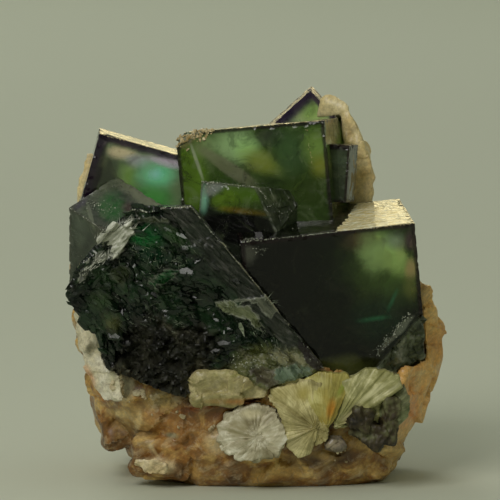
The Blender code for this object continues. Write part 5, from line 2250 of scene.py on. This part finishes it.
STONES = (
    RoughStone(
        "feldspar_body", "feldspar_matrix", "feldspar_amber",
        Feldspar(
            "amber_feldspar", shown(62, 40, 14), shown(116, 76, 24), shown(194, 162, 96),
            shown(140, 74, 16), 0.4, 230.0, 0.4, zones=MATRIX_ZONES,
        ),
        voxel=0.3, swell=0.3, grain=3.0, steps=0.18, cell=2.2, grow=0.2, soften=2, base=0.0,
        blocks=(
            CubeFrame((-10.2, -6.6, 3.6), (6.6, 6.4, 4.2), (6.0, 8.0, -10.0)),
            CubeFrame((-16.6, 11.0, 19.4), (8.2, 7.8, 12.0), (4.0, -6.0, 4.0)),
            CubeFrame((9.0, 11.0, 20.6), (10.4, 9.0, 14.0), (-4.0, 5.0, -6.0)),
            CubeFrame((-4.6, 10.6, 12.0), (11.0, 7.0, 9.0), (9.0, 7.0, 12.0)),
            CubeFrame((5.0, 11.2, 7.6), (9.0, 5.6, 8.0), (-10.0, -6.0, -8.0)),
            CubeFrame((-12.4, 8.6, 7.4), (8.4, 7.0, 8.0), (6.0, -9.0, 25.0)),
            CubeFrame((12.4, 6.6, 11.0), (8.4, 9.0, 11.0), (-5.0, 7.0, -20.0)),
            CubeFrame((-2.0, 9.8, 24.6), (9.6, 7.0, 8.4), (5.0, -7.0, -6.0)),
            CubeFrame((-15.0, 0.4, 8.4), (6.4, 9.0, 8.0), (4.0, -12.0, 6.0)),
            CubeFrame((1.6, 9.6, 4.6), (13.0, 7.6, 6.4), (7.0, 3.0, 4.0)),
        ),
        seed=3,
    ),
    RoughStone(
        "feldspar_back_body", "feldspar_back", "feldspar_cream",
        Feldspar(
            "cream_feldspar", shown(196, 164, 106), shown(226, 206, 150), shown(236, 222, 176),
            shown(190, 140, 76), 0.25, 110.0, 0.1,
            zones=(
                Zone(
                    (9.0, 22.0), (8.0, 11.0), shown(146, 102, 52), 0.8, soft=0.8, wobble=0.5,
                    depth=(10.0, DEEP),
                ),
            ),
        ),
        swell=0.14, steps=0.0, fine=0.04, grow=0.2, soften=8, seed=4,
    ),
    RoughStone(
        "feldspar_right_body", "feldspar_right", "feldspar_orange",
        Feldspar(
            "orange_feldspar", shown(160, 110, 50), shown(208, 164, 92), shown(232, 204, 142),
            shown(170, 96, 36), 0.4, 150.0, 0.25,
            zones=(
                Zone((20.4, 17.0), (1.4, 8.0), shown(222, 176, 96), 0.9, soft=0.7, wobble=0.3),
                Zone((17.2, 8.6), (3.0, 4.0), shown(178, 112, 60), 0.8, soft=0.9, wobble=0.4),
                Zone(
                    (18.0, 12.0), (8.0, 16.0), shown(128, 88, 36), 0.85, soft=0.8, wobble=0.7,
                    depth=(6.5, 5.0),
                ),
                Zone(
                    (18.0, 3.4), (8.0, 3.6), shown(128, 88, 36), 0.85, soft=0.8, wobble=0.7,
                    depth=(0.0, 14.0),
                ),
                Zone(
                    (20.0, 14.0), (3.0, 5.0), shown(150, 100, 46), 0.6, soft=0.9, wobble=0.9,
                    depth=(-3.0, 2.4),
                ),
            ),
        ),
        swell=0.35, steps=0.14, cell=2.4, fine=0.05, grow=0.15, seed=5,
    ),
    RoughStone(
        "feldspar_left_back_body", "feldspar_left_back", "feldspar_cream",
        Feldspar(
            "pale_cream_feldspar", shown(196, 164, 106), shown(224, 204, 150), shown(234, 220, 178),
            shown(190, 140, 76), 0.25, 110.0, 0.1,
            zones=(
                Zone(
                    (-18.0, 20.0), (8.0, 10.0), shown(146, 102, 52), 0.8, soft=0.8, wobble=0.5,
                    depth=(10.0, DEEP),
                ),
            ),
        ),
        swell=0.14, steps=0.0, fine=0.04, grow=0.15, soften=8, seed=6,
    ),
    RoughStone(
        "white_crystal_body", "white_crystal_left", "quartz_white",
        Feldspar(
            "milky_quartz", shown(140, 132, 104), shown(196, 188, 164), shown(236, 232, 216),
            shown(140, 112, 66), 0.3, 200.0, 0.3, 0.35,
            zones=(
                Zone((-18.5, 16.2), (0.8, 1.3), shown(62, 60, 36), 0.9, slant=20.0, soft=0.8, wobble=0.9),
                Zone((-16.9, 16.0), (0.8, 5.0), shown(120, 122, 66), 0.8, slant=-14.0, soft=0.8),
                Zone((-18.8, 12.6), (1.0, 2.0), shown(168, 112, 66), 0.8, slant=-14.0, soft=0.8),
            ),
        ),
        voxel=0.18, steps=0.16, cell=1.3, seed=7,
    ),
    RoughStone(
        "white_grain_body", "white_grain", "quartz_white",
        Feldspar(
            "white_feldspar", shown(176, 156, 116), shown(206, 190, 152), shown(226, 214, 184),
            shown(160, 120, 70), 0.2, 300.0, 0.3, 0.35,
        ),
        voxel=0.12, swell=0.2, steps=0.1, cell=0.8, seed=8,
    ),
    RoughStone(
        "mica_block_body", "mica_block", "mica_tan",
        Feldspar(
            "tan_mica", shown(104, 96, 54), shown(130, 122, 80), shown(164, 154, 116), shown(110, 96, 36),
            0.3, 260.0, 0.3, 0.4,
            zones=(
                Zone((-1.6, 10.4), (5.4, 0.7), shown(140, 88, 30), 0.8, soft=0.9, wobble=0.4),
                Zone((-2.6, 13.7), (3.4, 0.6), shown(112, 112, 44), 0.7, soft=0.9, wobble=0.4),
            ),
        ),
        voxel=0.16, swell=0.2, steps=0.08, cell=1.6, fine=0.03, grow=0.35, seed=9,
    ),
    RoughStone(
        "grey_grain_body", "grey_grain", "grain_grey",
        Feldspar(
            "grey_quartz", shown(58, 50, 40), shown(86, 78, 66), shown(112, 104, 92), shown(70, 46, 26),
            0.2, 420.0, 0.2, 0.3,
        ),
        voxel=0.12, swell=0.16, steps=0.08, cell=0.9, seed=10,
    ),
)

ROSETTE_ZONES = (
    Zone((-2.0, 7.4), (1.8, 1.4), shown(112, 104, 72), 0.6, wobble=0.5),
    Zone((2.4, 6.0), (1.2, 2.2), shown(198, 190, 164), 0.6, wobble=0.5),
    Zone((-0.4, 9.0), (1.6, 0.7), shown(180, 172, 140), 0.6, wobble=0.5),
)

LOBE = {"thickness": 1.0, "tear": 0.5, "leaf": 30.0, "ribs": 0.08, "crown": 0.5}

FANS = (
    MicaFan(
        "mica_fan_centre_blades", "mica_fan_centre", "mica_silk",
        (
            SilkySheet(
                "fan_left_sheet",
                (
                    (1.5, 10.9), (2.2, 11.8), (3.3, 12.8), (4.7, 13.2), (5.8, 12.9), (6.5, 10.6),
                    (7.4, 8.0), (7.0, 6.1), (6.3, 4.3), (4.9, 3.8), (3.6, 5.4), (3.2, 7.9), (2.4, 9.7),
                ),
                RadiatingMica(
                    "fan_left_silk", (6.9, -13.6, 7.4), shown(100, 92, 56), shown(134, 126, 86),
                    shown(176, 168, 126), shown(126, 112, 52), 0.3,
                    zones=(
                        Zone((5.6, 11.4), (1.6, 1.4), shown(132, 120, 50), 0.8, slant=-30.0),
                        Zone((4.4, 5.6), (1.6, 1.6), shown(140, 132, 96), 0.8),
                    ),
                ),
                front=-13.3, seed=32,
            ),
            SilkySheet(
                "fan_middle_sheet",
                (
                    (5.6, 12.9), (7.2, 13.8), (9.2, 13.6), (10.3, 13.6), (11.0, 12.7), (10.1, 10.7),
                    (9.0, 8.2), (8.1, 7.0), (6.9, 7.9), (6.0, 10.4),
                ),
                RadiatingMica(
                    "fan_middle_silk", (8.1, -13.8, 6.8), shown(104, 96, 44), shown(128, 120, 62),
                    shown(158, 152, 100), shown(140, 112, 30), 0.4,
                    zones=(
                        Zone((8.6, 9.6), (0.7, 1.7), shown(150, 98, 24), 0.9, slant=12.0),
                        Zone((9.9, 11.9), (0.5, 1.5), shown(96, 112, 40), 0.8, slant=30.0),
                        Zone((7.2, 12.6), (1.6, 1.0), shown(150, 144, 92), 0.7),
                    ),
                ),
                front=-13.5, seed=33,
            ),
        ),
        seed=32,
    ),
    MicaFan(
        "mica_fan_right_blades", "mica_fan_right", "mica_silk",
        (
            SilkySheet(
                "fan_right_sheet",
                (
                    (9.2, 8.4), (10.3, 11.1), (11.0, 13.2), (12.6, 14.2), (14.6, 14.0), (16.4, 13.2),
                    (16.8, 12.0), (15.5, 11.1), (13.2, 9.6), (11.4, 8.4), (9.4, 7.3),
                ),
                RadiatingMica(
                    "fan_right_silk", (8.9, -13.9, 7.4), shown(92, 92, 56), shown(122, 120, 80),
                    shown(172, 168, 130), shown(116, 112, 52), 0.3,
                    zones=(
                        Zone((13.2, 11.4), (3.0, 0.5), shown(188, 184, 150), 0.7, slant=-36.0),
                        Zone((10.6, 8.6), (1.6, 0.8), shown(150, 142, 106), 0.7, slant=-30.0),
                    ),
                ),
                front=-13.4, leaf=9.0, seed=34,
            ),
            SilkySheet(
                "fan_grey_sheet",
                (
                    (13.2, 9.4), (15.6, 11.0), (17.0, 12.2), (17.6, 10.6), (17.4, 8.6), (16.0, 7.2),
                    (14.6, 8.0),
                ),
                RadiatingMica(
                    "fan_grey_silk", (12.0, -13.4, 7.4), shown(56, 60, 36), shown(96, 98, 70),
                    shown(146, 148, 118), shown(66, 80, 44), 0.5,
                ),
                front=-12.6, thickness=1.3, seed=35,
            ),
        ),
        seed=33,
    ),
    MicaFan(
        "mica_rosette", "white_rosette", "rosette_white",
        (
            SilkySheet(
                "rosette_sheet",
                (
                    (-3.2, 7.8), (-2.5, 8.8), (-1.3, 9.6), (0.1, 10.1), (1.3, 9.8), (2.2, 9.5), (3.0, 8.4),
                    (3.6, 7.0), (3.8, 6.1), (3.1, 5.2), (2.8, 3.8), (2.0, 4.3), (1.3, 4.7), (0.9, 4.0),
                    (-0.5, 3.6), (-1.6, 4.1), (-2.3, 4.9), (-3.7, 4.7), (-4.0, 5.2), (-3.2, 5.8),
                    (-3.4, 6.9),
                ),
                RadiatingMica(
                    "rosette_silk", (0.3, -13.6, 6.4), shown(96, 90, 68), shown(136, 130, 108),
                    shown(206, 202, 184), shown(112, 102, 76), 0.35, lines=5.0, roughness=0.5,
                    zones=ROSETTE_ZONES,
                ),
                front=-13.3, tear=0.5, leaf=40.0, leaf_step=0.35, ribs=0.08, crown=0.9, seed=36,
            ),
            SilkySheet(
                "rosette_right_lobe",
                (
                    (0.1, 6.8), (1.0, 8.8), (2.0, 9.3), (2.8, 8.5), (3.3, 7.4), (3.8, 6.2), (3.0, 5.1),
                    (2.5, 4.0), (1.4, 5.0),
                ),
                RadiatingMica(
                    "rosette_right_silk", (-0.6, -13.6, 6.2), shown(110, 102, 80), shown(154, 148, 126),
                    shown(222, 218, 202), shown(140, 132, 108), 0.3, lines=6.0, roughness=0.5,
                ),
                front=-13.75, **LOBE, seed=37,
            ),
            SilkySheet(
                "rosette_low_lobe",
                (
                    (0.8, 6.6), (-0.8, 6.2), (-2.6, 5.8), (-3.6, 5.2), (-2.6, 4.7), (-1.6, 4.0),
                    (-0.3, 3.7), (0.8, 4.1), (1.3, 5.0),
                ),
                RadiatingMica(
                    "rosette_low_silk", (1.2, -13.6, 7.0), shown(104, 96, 74), shown(142, 136, 114),
                    shown(208, 204, 188), shown(120, 112, 86), 0.3, lines=6.0, roughness=0.5,
                ),
                front=-13.7, **LOBE, seed=38,
            ),
        ),
        seed=36,
    ),
)

GRAINS = LooseGrains(
    spots=(
        ((-14.8, -11.4, 13.0), 1.1, 14, 0.7), ((-13.6, -11.6, 11.6), 0.9, 8, 0.5),
        ((-8.6, -11.9, 8.2), 0.7, 4, 0.5), ((-5.0, -12.0, 6.4), 0.6, 5, 0.6),
        ((-12.0, -11.4, 9.0), 0.6, 6, 1.2), ((9.4, -11.9, 4.0), 0.5, 5, 0.9),
    ),
)


def add(piece: Piece, slot: str, *nodes: str) -> None:
    """Let a piece ride on the specimen, hide the CAD nodes that it stands for and log its face count."""
    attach(piece, "root")
    for node in nodes:
        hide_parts(node)
    LOG.info("%s: %d faces", piece.name, len(piece.data.polygons))


def main() -> None:
    """Build the specimen and the studio."""
    logging.basicConfig(level=logging.INFO, format="%(name)s: %(message)s")
    crystals = []
    for cube in CUBES:
        crystals.append(cube.build())
        add(crystals[-1], "fluorite_green", cube.node)
    broken = BrokenCrystal().build()
    add(broken, "fluorite_green", "fluorite_cluster")
    add(SHEEN_CRUST.build(), "fluorite_green", SHEEN_CRUST.node)
    ground = Ground(crystals + [broken])
    for piece in (CHIPS, GLINT_CHIPS):
        add(piece.build(ground), "fluorite_green", piece.node)
    fracture = Ground([broken])
    for patch in FLAKES + PATCHES:
        add(patch.build(fracture), "fluorite_green", patch.node)
    stones = []
    for stone in STONES:
        stones.append(stone.build())
        add(stones[-1], stone.slot, stone.node)
    for fan in FANS:
        add(fan.build(), fan.slot, fan.node)
    add(BlackPrisms().build(), "schorl_black", "dark_crystals")
    add(GRAINS.build(Ground(stones)), "quartz_white", "feldspar_matrix")
    Studio().build()


if __name__ == "__main__":
    main()
